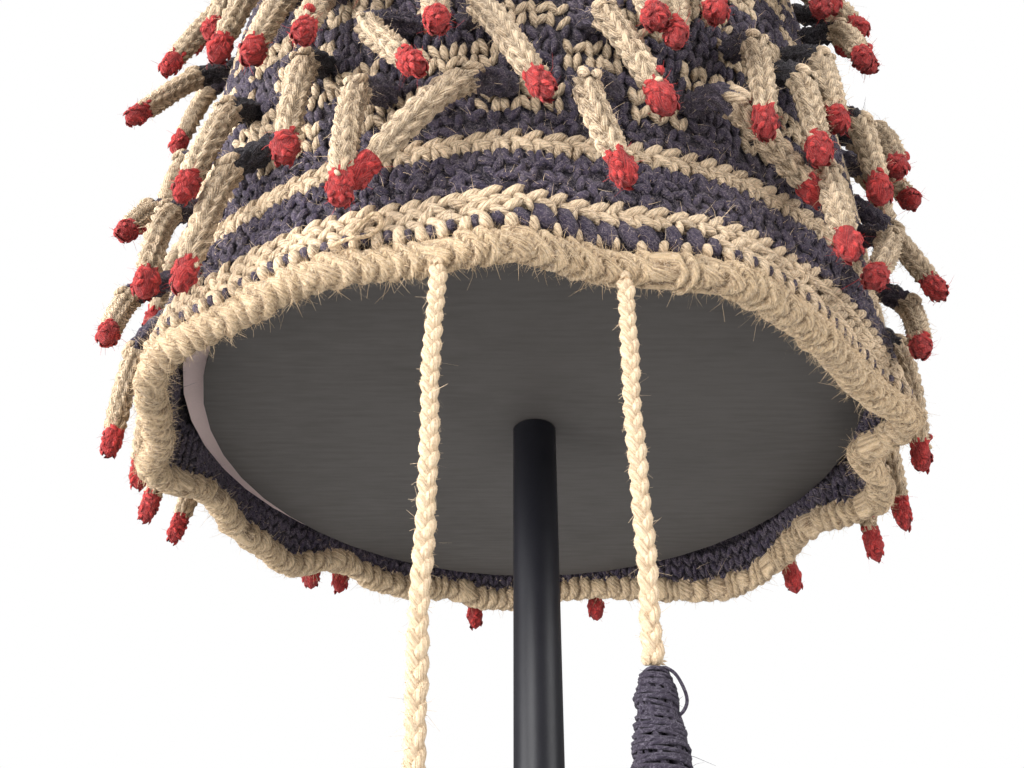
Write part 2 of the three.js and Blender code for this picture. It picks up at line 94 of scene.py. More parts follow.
# The burls that show, each as the root's angle, its level as a share of the run from the edge to the top's
# middle, how far the elbow stands off, how far elbow and tip go round, how far the tip falls and stands off.
SHOWN_BURLS = (
    (-163, 0.47, 0.25, 0, 0.19, 0.83, 0.47), (-124, 0.36, 0.22, 0, 0.03, 0.84, 0.36),
    (-155, 0.54, 0.22, 0, 0.02, 0.89, 0.37), (-117, 0.335, 0.2, 0, 0.09, 0.81, 0.42),
    (-119, 0.24, 0.25, 0.05, 0.08, 0.88, 0.31), (-134, 0.24, 0.22, 0.1, 0.11, 0.87, 0.37),
    (-127, 0.168, 0.2, -0.1, -0.13, 0.92, 0.29), (-105, 0.255, 0.25, -0.2, 0.14, 0.68, 0.36),
    (-108, 0.176, 0.3, -0.05, -0.05, 0.85, 0.29), (-92, 0.168, 0.26, -0.2, -0.61, 0.68, 0.25),
    (-103, 0.3, 0.2, 0.05, 0.14, 0.79, 0.45), (-98, 0.255, 0.25, 0.1, 0.35, 0.81, 0.29),
    (-79, 0.168, 0.27, -0.2, -0.03, 0.78, 0.29), (-82, 0.248, 0.25, 0.05, 0.23, 0.82, 0.32),
    (-75, 0.32, 0.2, -0.05, -0.06, 0.81, 0.42), (-68, 0.305, 0.2, -0.1, -0.23, 0.79, 0.39),
    (-65, 0.35, 0.2, -0.05, -0.15, 0.81, 0.4), (-60, 0.263, 0.27, -0.05, -0.11, 0.85, 0.29),
    (-52, 0.263, 0.24, -0.05, -0.13, 0.88, 0.31), (-45, 0.32, 0.23, -0.05, -0.19, 0.86, 0.3),
    (-68, 0.168, 0.27, 0, 0.6, 0.38, 0.15), (-37, 0.28, 0.24, -0.05, -0.18, 0.88, 0.28),
    (-19, 0.35, 0.29, -0.1, -0.38, 0.74, 0.29), (-30, 0.54, 0.25, -0.05, -0.28, 0.79, 0.27),
    (-21, 0.54, 0.27, 0, -0.13, 0.83, 0.32), (-48, 0.168, 0.2, -0.1, -0.23, 0.88, 0.34),
    (-28, 0.168, 0.2, -0.1, -0.59, 0.75, 0.2), (-14, 0.28, 0.2, 0.05, -0.18, 0.89, 0.35),
    (-14, 0.168, 0.22, 0, -0.44, 0.76, 0.19), (-147, 0.176, 0.23, 0.1, 0.28, 0.83, 0.3),
    (-166, 0.27, 0.26, 0.1, 0.48, 0.67, 0.34), (-164, 0.168, 0.26, 0, 0.37, 0.72, 0.31),
    (-172, 0.165, 0.26, -0.1, -0.08, 0.92, 0.27), (176, 0.168, 0.25, 0, -0.05, 0.92, 0.24),
    (165, 0.168, 0.25, 0, 0.09, 1, 0.31), (156, 0.168, 0.25, 0, 0.12, 1, 0.32),
    (133, 0.168, 0.22, 0, -0.07, 0.98, 0.2), (125, 0.168, 0.22, 0, 0, 0.95, 0.22),
    (100, 0.168, 0.22, 0, -0.05, 1.08, 0.22), (77, 0.168, 0.22, 0, -0.04, 1.03, 0.23),
    (40, 0.168, 0.25, 0, -0.08, 1.11, 0.28), (20, 0.168, 0.25, 0, 0.02, 1.12, 0.32),
    (10, 0.165, 0.25, 0, 0.03, 1.07, 0.28), (-3, 0.168, 0.25, 0, 0.06, 0.94, 0.22),
    (-13, 0.35, 0.25, 0, -0.32, 0.73, 0.32), (-20, 0.6, 0.25, 0, -0.17, 0.86, 0.35),
)

# The other burls stand in even rows: the level, the angles that the row runs between and the count.
BURL_ROWS = (
    (0.18, 52, 160, 4), (0.25, 0, 180, 8), (0.32, 0, 190, 8), (0.39, -16, 200, 9), (0.41, -142, -26, 6),
    (0.46, -18, 180, 7), (0.48, -150, -30, 6), (0.55, -14, 196, 8), (0.56, -146, -38, 5), (0.63, 0, 360, 10),
    (0.71, 10, 370, 8), (0.79, 0, 360, 7), (0.87, 20, 380, 4), (0.95, 0, 360, 2),
)

# The chin cords' routes from the rolled edge down to their tassels, in millimetres.
CORD_ROUTES = {
    "left": (
        (-21, -97.3, 274.3), (-21, -97.3, 268), (-21.4, -97.4, 258), (-21.5, -97.3, 248),
        (-21.2, -97.1, 238), (-21, -97, 228), (-21, -97.1, 218), (-21.2, -97.2, 208),
        (-21.3, -97.3, 198), (-21.1, -97.2, 188), (-20.8, -97.1, 178), (-20.7, -97, 170),
        (-20.7, -97, 162),
    ),
    "right": (
        (16.8, -91.2, 275.9), (16.8, -91.2, 270), (16.7, -91.3, 262), (16.5, -91.4, 254), (16.3, -91.5, 245),
        (16.4, -91.5, 236), (16.5, -91.4, 227), (16.7, -91.3, 219), (16.7, -91.2, 210), (16.6, -91.2, 201),
        (16.6, -91.2, 193.5),
    ),
}

# The tassel's outline from its top, as shares of its length and of its radius.
TASSEL_OUTLINE = (
    (0, 0.25), (0.04, 0.49), (0.09, 0.62), (0.137, 0.76), (0.22, 0.62), (0.25, 0.84), (0.42, 1), (0.7, 1.04),
    (0.9, 1), (1, 0.8),
)

# The loose arc of thread beside each tassel's neck, in millimetres from the tassel's top.
TASSEL_ARC = (
    (1.2, -1.4, -0.3), (3, -1.7, -1.6), (4.2, -1.7, -4), (4.6, -1.4, -6), (3.9, -1.2, -7.6), (2.6, -1, -8.6),
)

# The band's rows of stitches outside and inside: the height of the row's middle in millimetres and its kind.
OUTER_ROWS = (
    (6.6, "teeth"), (12, "chain"), (15.9, "navy"), (19.4, "navy"), (22.9, "navy"), (26.2, "points"),
    (29.6, "chain"), (33.6, "navy"), (37.4, "navy"),
)
INNER_ROWS = ((2.6, "dots"), (6, "navy"), (9.4, "navy"), (12.8, "navy"), (16.4, "navy"))

NAVY, TAN, RED, BLACK = range(4)


def length_size(name, description, default):
    return FloatProperty(
        name=name, description=description, default=default, subtype="DISTANCE", unit="LENGTH"
    )


def count_size(name, description, default):
    return IntProperty(name=name, description=description, default=default, min=1)


def colour_value(name, description, default):
    return FloatVectorProperty(
        name=name, description=description, default=default, subtype="COLOR", size=3, min=0, max=1
    )


class HatSizes(PropertyGroup):
    """Sizes of the dressed hat"""

    head_radius: length_size("Head radius", "Inside of the crown's wall", 0.095)
    wall: length_size("Wall", "Thickness of the crown's wall", 0.0035)
    band_height: length_size("Band height", "From the edge to the lowest burls", 0.04)
    shoulder_height: length_size("Shoulder height", "From the edge to the dome", 0.14)
    shoulder_inset: length_size("Shoulder inset", "How far the wall tapers up to the shoulder", 0.0075)
    dome_rise: length_size("Dome rise", "From the shoulder to the top", 0.076)
    plate_level: length_size("Plate level", "Height of the plate above the rim's middle plane", 0.013)
    roll_radius: length_size("Roll radius", "Half the thickness of the rolled edge", 0.0037)
    seat_gap: length_size("Seat gap", "Gap between the roll and the wall", 0.0003)
    fold_depth: length_size("Fold depth", "Full depth of an edge fold", 0.008)
    fold_fade: length_size("Fold fade", "Height at which an outward fold has gone", 0.036)
    wrap_count: count_size("Wraps", "Stitches wound over the rolled edge", 158)
    wrap_depth: length_size("Wrap depth", "Depth of the creases between wraps", 0.0013)
    stitch_pitch: length_size("Stitch pitch", "Width of one stitch", 0.0044)
    lobe_width: length_size("Lobe width", "Width of one leg of a stitch", 0.0021)
    lobe_length: length_size("Lobe length", "Length of one leg of a stitch", 0.0056)
    lobe_depth: length_size("Lobe depth", "How far a leg of a stitch stands proud", 0.0011)
    burl_length: length_size("Burl length", "From root to tip", 0.05)
    burl_radius: length_size("Burl radius", "Half width of a burl", 0.0028)
    bulb_radius: length_size("Bulb radius", "Half width of a burl's red tip", 0.00275)
    burl_row: length_size("Burl row", "Height of one row of stitches on a burl", 0.0037)
    cord_radius: length_size("Cord radius", "Half width of a plaited cord", 0.00185)
    plait_pitch: length_size("Plait pitch", "Length in which a strand of the plait comes round", 0.0105)
    tassel_length: length_size("Tassel length", "From top to bottom", 0.038)
    tassel_radius: length_size("Tassel radius", "Half width at its widest", 0.0046)
    tassel_strands: count_size("Tassel strands", "Threads in one tassel", 48)
    thread_radius: length_size("Thread radius", "Half width of a tassel's thread", 0.00055)
    fibre_length: length_size("Fibre length", "Usual length of a loose fibre", 0.0013)
    fibre_width: length_size("Fibre width", "Width of a loose fibre", 0.00012)
    fibre_count: count_size("Fibres", "Loose fibres over the whole hat", 60000)


class HatColours(PropertyGroup):
    """Colours of the dressed hat"""

    # Each shade colour is painted shade: its yarn as it looks in shadow, which the yarn shader paints into
    # creases, grooves and the valleys between plies
    tan: colour_value("Tan", "Natural yarn", (0.82, 0.625, 0.42))
    tan_painted_shade: colour_value("Tan shade", "Natural yarn between its plies", (0.15, 0.098, 0.056))
    cord: colour_value("Cord", "Yarn of the chin cords", (0.76, 0.59, 0.4))
    cord_painted_shade: colour_value("Cord shade", "The cords between their plies", (0.34, 0.22, 0.125))
    roll: colour_value("Roll", "Yarn of the rolled edge", (0.68, 0.505, 0.315))
    roll_painted_shade: colour_value("Roll shade", "The rolled edge between its strands", (0.17, 0.105, 0.058))
    navy: colour_value("Navy", "Faded navy yarn", (0.064, 0.05, 0.082))
    navy_painted_shade: colour_value("Navy shade", "Navy yarn between its plies", (0.014, 0.011, 0.02))
    black: colour_value("Near black", "The darkest burl roots", (0.024, 0.019, 0.026))
    black_painted_shade: colour_value("Black shade", "The darkest roots between their plies", (0.005, 0.004, 0.006))
    red: colour_value("Red", "Yarn of the burls' tips", (0.6, 0.05, 0.046))
    red_painted_shade: colour_value("Red shade", "Red yarn between its plies", (0.15, 0.01, 0.012))
    tassel: colour_value("Tassel", "Yarn of the tassels", (0.046, 0.037, 0.056))
    tassel_painted_shade: colour_value("Tassel shade", "Between the tassels' threads", (0.02, 0.015, 0.03))
    plate: colour_value("Plate", "Dark grey plate", (0.076, 0.069, 0.065))
    plate_dark: colour_value("Plate stains", "Stains on the plate", (0.053, 0.047, 0.043))
    board: colour_value("Board", "Pale board above the plate", (0.82, 0.645, 0.62))
    board_dark: colour_value("Board wear", "Worn patches of the board", (0.68, 0.54, 0.51))
    paint: colour_value("Black paint", "The rod and the foot", (0.007, 0.007, 0.01))
    paint_worn: colour_value("Worn paint", "Rubbed places on the paint", (0.018, 0.018, 0.023))
    floor: colour_value("Floor", "The studio floor", (0.68, 0.68, 0.68))


def sizes():
    return bpy.context.scene.hat_sizes


def colours():
    return bpy.context.scene.hat_colours


# The hat's shape, the same as the frame's


def fold_at(turn):
    """How far the free edge swells out and lifts at angles in degrees."""
    table = np.array(FOLDS, float)
    off = (np.asarray(turn, float)[..., None] - table[:, 0] + 180) % 360 - 180
    share = np.exp(-((off / table[:, 1]) ** 2)) * sizes().fold_depth
    return (share * table[:, 2]).sum(-1), (share * table[:, 3]).sum(-1)


def pitch():
    return math.radians(CROWN_TILT)


def wall_foot():
    """Height of the wall's lower edge, just over the roll."""
    return sizes().roll_radius + sizes().seat_gap


def wall_swell(turn, height):
    s = sizes()
    swell, _ = fold_at(turn)
    front = -np.sin(np.radians(turn))
    plate_at = s.plate_level + front * s.head_radius * math.tan(pitch()) - s.roll_radius
    top = wall_foot()
    fade = np.where(swell < 0, np.maximum(top, plate_at), s.fold_fade)
    return swell * np.clip(1 - (height - top) / (fade - top + s.seat_gap), 0, 1)


def crown_line(run):
    """Radius, height and outward normal of the crown's outer line, at distances up from the edge."""
    s = sizes()
    run = np.asarray(run, float)
    outer = s.head_radius + s.wall
    shoulder = outer - s.shoulder_inset
    rise = np.clip((run - s.band_height) / (s.shoulder_height - s.band_height), 0, 1)
    arc = np.clip((run - s.shoulder_height) / ((shoulder + s.dome_rise) / 2), 0, math.pi / 2)
    straight = run <= s.shoulder_height
    radius = np.where(straight, outer - s.shoulder_inset * rise**2, shoulder * np.cos(arc))
    height = np.where(straight, run, s.shoulder_height + s.dome_rise * np.sin(arc))
    out, up = np.cos(arc) / shoulder, np.sin(arc) / s.dome_rise
    size = np.hypot(out, up)
    return radius, height, out / size, up / size


def crown_run():
    s = sizes()
    return s.shoulder_height + (s.head_radius + s.wall - s.shoulder_inset + s.dome_rise) / 2 * math.pi / 2


def crown_point(turn, run, stand):
    """Points in the crown's own frame, stand away from its outer line, with the edge's folds."""
    radius, height, out, up = crown_line(run)
    edge = np.clip(1 - (height - wall_foot()) / 0.012, 0, 1)
    _, lift = fold_at(turn)
    radius = radius + out * stand + wall_swell(turn, height)
    angle = np.radians(turn)
    return np.stack([radius * np.cos(angle), radius * np.sin(angle), height + up * stand + lift * edge], -1)


def crown_axes(turn, run):
    """Unit vectors round the crown, up its wall and outwards."""
    _, _, out, up = crown_line(run)
    angle = np.radians(turn)
    level = np.zeros_like(angle)
    normal = np.stack([out * np.cos(angle), out * np.sin(angle), up + level], -1)
    across = np.stack([-np.sin(angle), np.cos(angle), level], -1)
    return across, np.cross(normal, across), normal


def to_row(points):
    """From the crown's own frame to the row frame."""
    c, s = math.cos(pitch()), math.sin(pitch())
    points = points - np.array([0, 0, sizes().plate_level])
    x, y, z = points[..., 0], points[..., 1], points[..., 2]
    return np.stack([x - AXIS_SHIFT, c * y - s * z, s * y + c * z + PLATE_TOP], -1)


# Meshes


def make_piece(name, parts, materials):
    """Joins parts, each a dict of co, faces, uv, tone, crease and mat, into one mesh on the body."""
    starts = np.cumsum([0] + [len(p["co"]) for p in parts])
    co = np.concatenate([p["co"] for p in parts])
    faces = np.concatenate([p["faces"] + start for p, start in zip(parts, starts)])
    mesh = bpy.data.meshes.new(name)
    mesh.vertices.add(len(co))
    mesh.vertices.foreach_set("co", co.astype(np.float32).ravel())
    mesh.loops.add(faces.size)
    mesh.loops.foreach_set("vertex_index", faces.astype(np.int32).ravel())
    mesh.polygons.add(len(faces))
    mesh.polygons.foreach_set("loop_start", np.arange(0, faces.size, faces.shape[1], dtype=np.int32))
    mesh.polygons.foreach_set("material_index", np.concatenate([p["mat"] for p in parts]).astype(np.int32))
    mesh.update(calc_edges=True)
    mesh.polygons.foreach_set("use_smooth", np.ones(len(faces), bool))
    uv = np.concatenate([p["uv"] for p in parts])[faces.ravel()]
    mesh.uv_layers.new(name="Yarn").data.foreach_set("uv", uv.astype(np.float32).ravel())
    for key in ("tone", "crease"):
        values = np.concatenate([p[key] for p in parts]).astype(np.float32)
        mesh.attributes.new(key, "FLOAT", "POINT").data.foreach_set("value", values)
    for material in materials:
        mesh.materials.append(material)
    piece = bpy.data.objects.new(name, mesh)
    bpy.context.scene.collection.objects.link(piece)
    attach(piece, "root")
    return piece


def grid_faces(rows, columns, closed):
    """Quads of a grid of rows and columns of points. A closed grid's last column joins its first."""
    across = columns if closed else columns - 1
    r, c = np.meshgrid(np.arange(rows - 1), np.arange(across), indexing="ij")
    following = (c + 1) % columns
    here, above = r * columns, (r + 1) * columns
    return np.stack([here + c, here + following, above + following, above + c], -1).reshape(-1, 4)


def grid_part(points, closed, uv, tone, crease, mat):
    rows, columns = points.shape[:2]
    fill = np.ones((rows, columns))
    return {
        "co": points.reshape(-1, 3),
        "faces": grid_faces(rows, columns, closed),
        "uv": uv.reshape(-1, 2),
        "tone": (tone * fill).ravel(),
        "crease": (crease * fill).ravel(),
        "mat": np.asarray(mat).ravel(),
    }


def lobes(spots, axes, length, width, depth, tilt, tone, mat, rings=5, sides=4, tuck=0.35):
    """Domed legs of yarn. axes are across, up and out at each spot, and tilt turns a leg from up."""
    count = len(spots)
    across, up, out = axes
    length, width, depth = (np.broadcast_to(v, (count,)) for v in (length, width, depth))
    c, s = np.cos(tilt)[:, None], np.sin(tilt)[:, None]
    ahead, beside = c * up + s * across, c * across - s * up
    a = np.linspace(-1, 1, rings + 1)
    t = np.linspace(0, math.pi, sides + 1)
    fat = np.maximum(1 - np.abs(a) ** 2.6, 0.02) ** 0.5
    side = -np.cos(t)[None, :] * fat[:, None]
    high = np.sin(t)[None, :] * fat[:, None] - 0.25 + tuck * a[:, None] * 0.6
    shape = lambda v: v[:, None, None, :]
    size = lambda v: v[:, None, None, None]
    points = (
        shape(spots)
        + shape(ahead) * size(length / 2) * a[None, :, None, None]
        + shape(beside) * size(width / 2) * side[None, :, :, None]
        + shape(out) * size(depth) * high[None, :, :, None]
    )
    one = grid_faces(rings + 1, sides + 1, False)
    step = (rings + 1) * (sides + 1)
    shift = (np.arange(count) * 7.3 % 97)[:, None, None]
    u = shift + (width * 500)[:, None, None] * t[None, None, :]
    v = shift * 0.37 + (length * 500)[:, None, None] * a[None, :, None]
    uv = np.stack(np.broadcast_arrays(u, v), -1)
    # Painted shade: the crease value darkens each leg towards its sides and ends, where it meets its
    # neighbours and the wall
    crease = 1 - np.sin(t)[None, :] * fat[:, None]
    return {
        "co": points.reshape(-1, 3),
        "faces": (one[None] + (np.arange(count) * step)[:, None, None]).reshape(-1, 4),
        "uv": uv.reshape(-1, 2),
        "tone": np.repeat(tone, step),
        "crease": np.tile(crease.ravel(), count),
        "mat": np.repeat(np.broadcast_to(mat, (count,)), len(one)),
    }


def wall_lobes(
    turn, run, stand, tilt, mat, rng, length=None, width=None, depth=None, inside=False, loose=1.0, **shape
):
    """Legs of stitches on the crown's wall, each a little off its even place."""
    s = sizes()
    turn, run = np.asarray(turn, float), np.broadcast_to(run, np.shape(turn)).astype(float)
    count = len(turn)
    radius = np.maximum(crown_line(run)[0], 0.004)
    turn = turn + np.degrees(rng.normal(0, 0.00014 * loose, count) / radius)
    run = run + rng.normal(0, 0.00014 * loose, count)
    across, up, out = crown_axes(turn, run)
    if inside:
        across, out = -across, -out
    spots = to_row(crown_point(turn, run, stand))
    origin = to_row(np.zeros(3))
    axes = [to_row(v) - origin for v in (across, up, out)]
    either = lambda value, usual: usual if value is None else value
    size = lambda value, usual, spread: either(value, usual) * rng.normal(1, spread, count).clip(0.7, 1.3)
    return lobes(
        spots,
        axes,
        size(length, s.lobe_length, 0.07),
        size(width, s.lobe_width, 0.06),
        size(depth, s.lobe_depth, 0.1),
        np.broadcast_to(tilt, (count,)) + rng.normal(0, 0.09 * loose, count),
        rng.normal(0.5, 0.28, count).clip(0, 1),
        mat,
        **shape,
    )


def even_turns(radius, pitch_size, start=-180.0, end=180.0, shift=0.0):
    """Angles of a row of stitches a pitch apart."""
    count = max(3, round(math.radians(end - start) * radius / pitch_size))
    return start + (np.arange(count) + 0.5 + shift) * (end - start) / count


def backing(runs, columns, stand, mats, inside=False):
    """The plain wall under the stitches. mats has one material for each strip between two runs."""
    turn = np.linspace(-180, 180, columns, endpoint=False)
    t, r = np.meshgrid(turn, runs)
    points = to_row(crown_point(t, r, stand))
    if inside:
        points = points[:, ::-1]
    uv = np.stack([np.radians(t) * 98, r * 1000], -1)
    # Painted shade: a low tone and a high crease value darken the wall where it shows between the stitches
    return grid_part(points, True, uv, 0.3, 0.85, np.repeat(mats, columns))


# Materials


def add_node(tree, kind, settings=None, **inputs):
    """A node with its settings and unlinked inputs."""
    made = tree.nodes.new("ShaderNode" + kind)
    for key, value in (settings or {}).items():
        setattr(made, key, value)
    for key, value in inputs.items():
        made.inputs[key.replace("_", " ")].default_value = value
    return made


def math_node(tree, operation, first, second=None, clamp=False):
    """A Math node. first and second are sockets or numbers."""
    made = add_node(tree, "Math", {"operation": operation, "use_clamp": clamp})
    for socket, value in zip(made.inputs, (first, second)):
        if isinstance(value, bpy.types.NodeSocket):
            tree.links.new(value, socket)
        elif value is not None:
            socket.default_value = value
    return made.outputs[0]


def mix_colour(tree, factor, first, second, blend="MIX"):
    made = add_node(tree, "Mix", {"data_type": "RGBA", "blend_type": blend})
    sockets = {0: factor, 6: first, 7: second}
    for index, value in sockets.items():
        if isinstance(value, bpy.types.NodeSocket):
            tree.links.new(value, made.inputs[index])
        else:
            made.inputs[index].default_value = value
    return made.outputs[2]


def new_group(name, inputs, outputs):
    """A shader node group with its sockets. inputs are (name, type, default)."""
    group = bpy.data.node_groups.new(name, "ShaderNodeTree")
    for label, kind, default in inputs:
        socket = group.interface.new_socket(name=label, in_out="INPUT", socket_type="NodeSocket" + kind)
        socket.default_value = default
    for label, kind in outputs:
        group.interface.new_socket(name=label, in_out="OUTPUT", socket_type="NodeSocket" + kind)
    return group, group.nodes.new("NodeGroupInput").outputs, group.nodes.new("NodeGroupOutput").inputs


def yarn_group():
    """Twisted yarn: colour with plies, uneven dye and painted shade in the creases and in the valleys of the
    plies and streaks, and height for a bump.
    """
    if "Twisted Yarn" in bpy.data.node_groups:
        return bpy.data.node_groups["Twisted Yarn"]
    grey = (0.5, 0.5, 0.5, 1)
    group, given, result = new_group(
        "Twisted Yarn",
        [("Yarn", "Color", grey), ("Shade", "Color", grey), ("Pale", "Color", grey), ("Haze", "Float", 0.15)],
        [("Color", "Color"), ("Height", "Float")],
    )
    link = group.links.new
    uv = add_node(group, "UVMap", {"uv_map": "Yarn"})
    parts = add_node(group, "SeparateXYZ")
    link(uv.outputs[0], parts.inputs[0])
    lean = math_node(group, "ADD", parts.outputs[0], math_node(group, "MULTIPLY", parts.outputs[1], 0.62))
    ply = math_node(group, "SINE", math_node(group, "MULTIPLY", lean, 5.4))
    ply = math_node(group, "ADD", math_node(group, "MULTIPLY", ply, 0.5), 0.5)
    stretch = add_node(group, "CombineXYZ")
    link(math_node(group, "MULTIPLY", lean, 3.1), stretch.inputs[0])
    link(math_node(group, "MULTIPLY", parts.outputs[1], 0.55), stretch.inputs[1])
    streaks = add_node(group, "TexNoise", {"noise_dimensions": "2D"}, Scale=1.0, Detail=4.0, Roughness=0.65)
    link(stretch.outputs[0], streaks.inputs["Vector"])
    where = add_node(group, "TexCoord")
    fuzz = add_node(group, "TexNoise", None, Scale=2600.0, Detail=3.0, Roughness=0.7)
    link(where.outputs["Object"], fuzz.inputs["Vector"])
    dye = add_node(group, "TexNoise", None, Scale=75.0, Detail=3.0, Roughness=0.6)
    link(where.outputs["Object"], dye.inputs["Vector"])
    tone = add_node(group, "Attribute", {"attribute_name": "tone"})
    crease = add_node(group, "Attribute", {"attribute_name": "crease"})
    streak = math_node(group, "SUBTRACT", streaks.outputs["Fac"], 0.5)
    # Painted shade: the colour runs to the shade colour in the valleys of the plies and streaks, the same
    # ones that make the bump, and where the crease value is high
    light = math_node(group, "ADD", math_node(group, "MULTIPLY", ply, 0.3), 0.34)
    light = math_node(group, "ADD", light, math_node(group, "MULTIPLY", streak, 2.3))
    light = math_node(group, "ADD", light, math_node(group, "MULTIPLY", tone.outputs["Fac"], 0.42))
    depth = math_node(group, "POWER", crease.outputs["Fac"], 1.7)
    light = math_node(group, "SUBTRACT", light, math_node(group, "MULTIPLY", depth, 0.85), clamp=True)
    colour = mix_colour(group, light, given["Shade"], given["Yarn"])
    faded = math_node(group, "SUBTRACT", dye.outputs["Fac"], 0.42)
    faded = math_node(group, "MULTIPLY", faded, 1.6, clamp=True)
    haze = math_node(group, "MULTIPLY", faded, fuzz.outputs["Fac"])
    haze = math_node(group, "MULTIPLY", haze, given["Haze"])
    colour = mix_colour(group, haze, colour, given["Pale"])
    # Thin curved lines, where a noise passes its middle value, look like short hairs lying on the yarn; the
    # dark ones are drawn in the painted shade colour
    for scale, end, share in ((640.0, given["Shade"], 0.8), (820.0, given["Pale"], 1.3)):
        hair = add_node(group, "TexNoise", None, Scale=scale, Detail=2.0, Roughness=0.55, Distortion=1.2)
        link(where.outputs["Object"], hair.inputs["Vector"])
        off_middle = math_node(group, "ABSOLUTE", math_node(group, "SUBTRACT", hair.outputs["Fac"], 0.5))
        line = math_node(group, "SUBTRACT", 1.0, math_node(group, "MULTIPLY", off_middle, 26.0), clamp=True)
        line = math_node(group, "MULTIPLY", line, given["Haze"])
        line = math_node(group, "MULTIPLY", line, share, clamp=True)
        colour = mix_colour(group, line, colour, end)
    link(colour, result["Color"])
    height = math_node(group, "ADD", math_node(group, "MULTIPLY", ply, 0.45), streaks.outputs["Fac"])
    height = math_node(group, "ADD", height, math_node(group, "MULTIPLY", fuzz.outputs["Fac"], 0.35))
    link(height, result["Height"])
    return group


def yarn(name, colour, shade, haze=0.35, pale=(0.93, 0.79, 0.62)):
    """A yarn material. It is made once for each name."""
    if name in bpy.data.materials:
        return bpy.data.materials[name]
    material = bpy.data.materials.new(name)
    material.use_nodes = True
    tree = material.node_tree
    shader = tree.nodes["Principled BSDF"]
    made = add_node(tree, "Group")
    made.node_tree = yarn_group()
    for socket, value in (("Yarn", colour), ("Shade", shade), ("Pale", pale)):
        made.inputs[socket].default_value = (*value, 1)
    made.inputs["Haze"].default_value = haze
    bump = add_node(tree, "Bump", None, Strength=0.75, Distance=0.00045)
    tree.links.new(made.outputs["Color"], shader.inputs["Base Color"])
    tree.links.new(made.outputs["Height"], bump.inputs["Height"])
    tree.links.new(bump.outputs["Normal"], shader.inputs["Normal"])
    shader.inputs["Roughness"].default_value = 0.92
    shader.inputs["Specular IOR Level"].default_value = 0.12
    shader.inputs["Sheen Weight"].default_value = 0.07
    shader.inputs["Sheen Roughness"].default_value = 0.6
    return material


def yarns():
    """The hat's yarns in the order of NAVY, TAN, RED and BLACK."""
    c = colours()
    return [
        yarn("navy_yarn_faded", c.navy, c.navy_painted_shade, 0.3, (0.42, 0.35, 0.36)),
        yarn("tan_yarn_natural", c.tan, c.tan_painted_shade),
        yarn("red_yarn_tips", c.red, c.red_painted_shade, 0.14, (0.8, 0.3, 0.28)),
        yarn("black_yarn_roots", c.black, c.black_painted_shade, 0.25, (0.3, 0.28, 0.3)),
    ]


def surface_group():
    """Worn flat surfaces: two colours in soft patches with fine grain, roughness and height."""
    if "Worn Surface" in bpy.data.node_groups:
        return bpy.data.node_groups["Worn Surface"]
    grey = (0.5, 0.5, 0.5, 1)
    group, given, result = new_group(
        "Worn Surface",
        [
            ("Base", "Color", grey), ("Worn", "Color", grey), ("Patch Scale", "Float", 12.0),
            ("Grain Scale", "Float", 900.0), ("Stretch", "Float", 1.0), ("Roughness", "Float", 0.6),
        ],
        [("Color", "Color"), ("Roughness", "Float"), ("Height", "Float")],
    )
    link = group.links.new
    where = add_node(group, "TexCoord")
    patches = add_node(group, "TexNoise", None, Detail=6.0, Roughness=0.65)
    link(where.outputs["Object"], patches.inputs["Vector"])
    link(given["Patch Scale"], patches.inputs["Scale"])
    parts = add_node(group, "SeparateXYZ")
    link(where.outputs["Object"], parts.inputs[0])
    joined = add_node(group, "CombineXYZ")
    link(math_node(group, "MULTIPLY", parts.outputs[0], given["Stretch"]), joined.inputs[0])
    link(parts.outputs[1], joined.inputs[1])
    link(parts.outputs[2], joined.inputs[2])
    grain = add_node(group, "TexNoise", None, Detail=3.0, Roughness=0.6)
    link(joined.outputs[0], grain.inputs["Vector"])
    link(given["Grain Scale"], grain.inputs["Scale"])
    share = math_node(group, "SUBTRACT", patches.outputs["Fac"], 0.42)
    share = math_node(group, "MULTIPLY", share, 2.6, clamp=True)
    grained = math_node(group, "MULTIPLY", math_node(group, "SUBTRACT", grain.outputs["Fac"], 0.5), 0.9)
    share = math_node(group, "ADD", share, grained, clamp=True)
    link(mix_colour(group, share, given["Base"], given["Worn"]), result["Color"])
    rough = math_node(group, "MULTIPLY", grained, 0.35)
    rough = math_node(group, "ADD", given["Roughness"], rough, clamp=True)
    link(rough, result["Roughness"])
    link(grain.outputs["Fac"], result["Height"])
    return group


def worn(name, base, wear, roughness, patch, grain, stretch=1.0, bump=0.15, specular=0.4, coat=0.0):
    """A painted or board surface."""
    material = bpy.data.materials.new(name)
    material.use_nodes = True
    tree = material.node_tree
    shader = tree.nodes["Principled BSDF"]
    made = add_node(tree, "Group")
    made.node_tree = surface_group()
    made.inputs["Base"].default_value = (*base, 1)
    made.inputs["Worn"].default_value = (*wear, 1)
    given = {"Patch Scale": patch, "Grain Scale": grain, "Stretch": stretch, "Roughness": roughness}
    for key, value in given.items():
        made.inputs[key].default_value = value
    raised = add_node(tree, "Bump", None, Strength=bump, Distance=0.0002)
    tree.links.new(made.outputs["Color"], shader.inputs["Base Color"])
    tree.links.new(made.outputs["Roughness"], shader.inputs["Roughness"])
    tree.links.new(made.outputs["Height"], raised.inputs["Height"])
    tree.links.new(raised.outputs["Normal"], shader.inputs["Normal"])
    shader.inputs["Specular IOR Level"].default_value = specular
    shader.inputs["Coat Weight"].default_value = coat
    shader.inputs["Coat Roughness"].default_value = 0.25
    return material


# Pieces


def build_camera():
    camera = bpy.data.cameras.new("photo_camera")
    camera.lens = CAMERA_LENS
    camera.sensor_width = SENSOR_WIDTH
    holder = bpy.data.objects.new("photo_camera", camera)
    holder.location = CAMERA_PLACE
    holder.rotation_euler = (math.radians(CAMERA_PITCH), 0, 0)
    bpy.context.scene.collection.objects.link(holder)
    bpy.context.scene.camera = holder


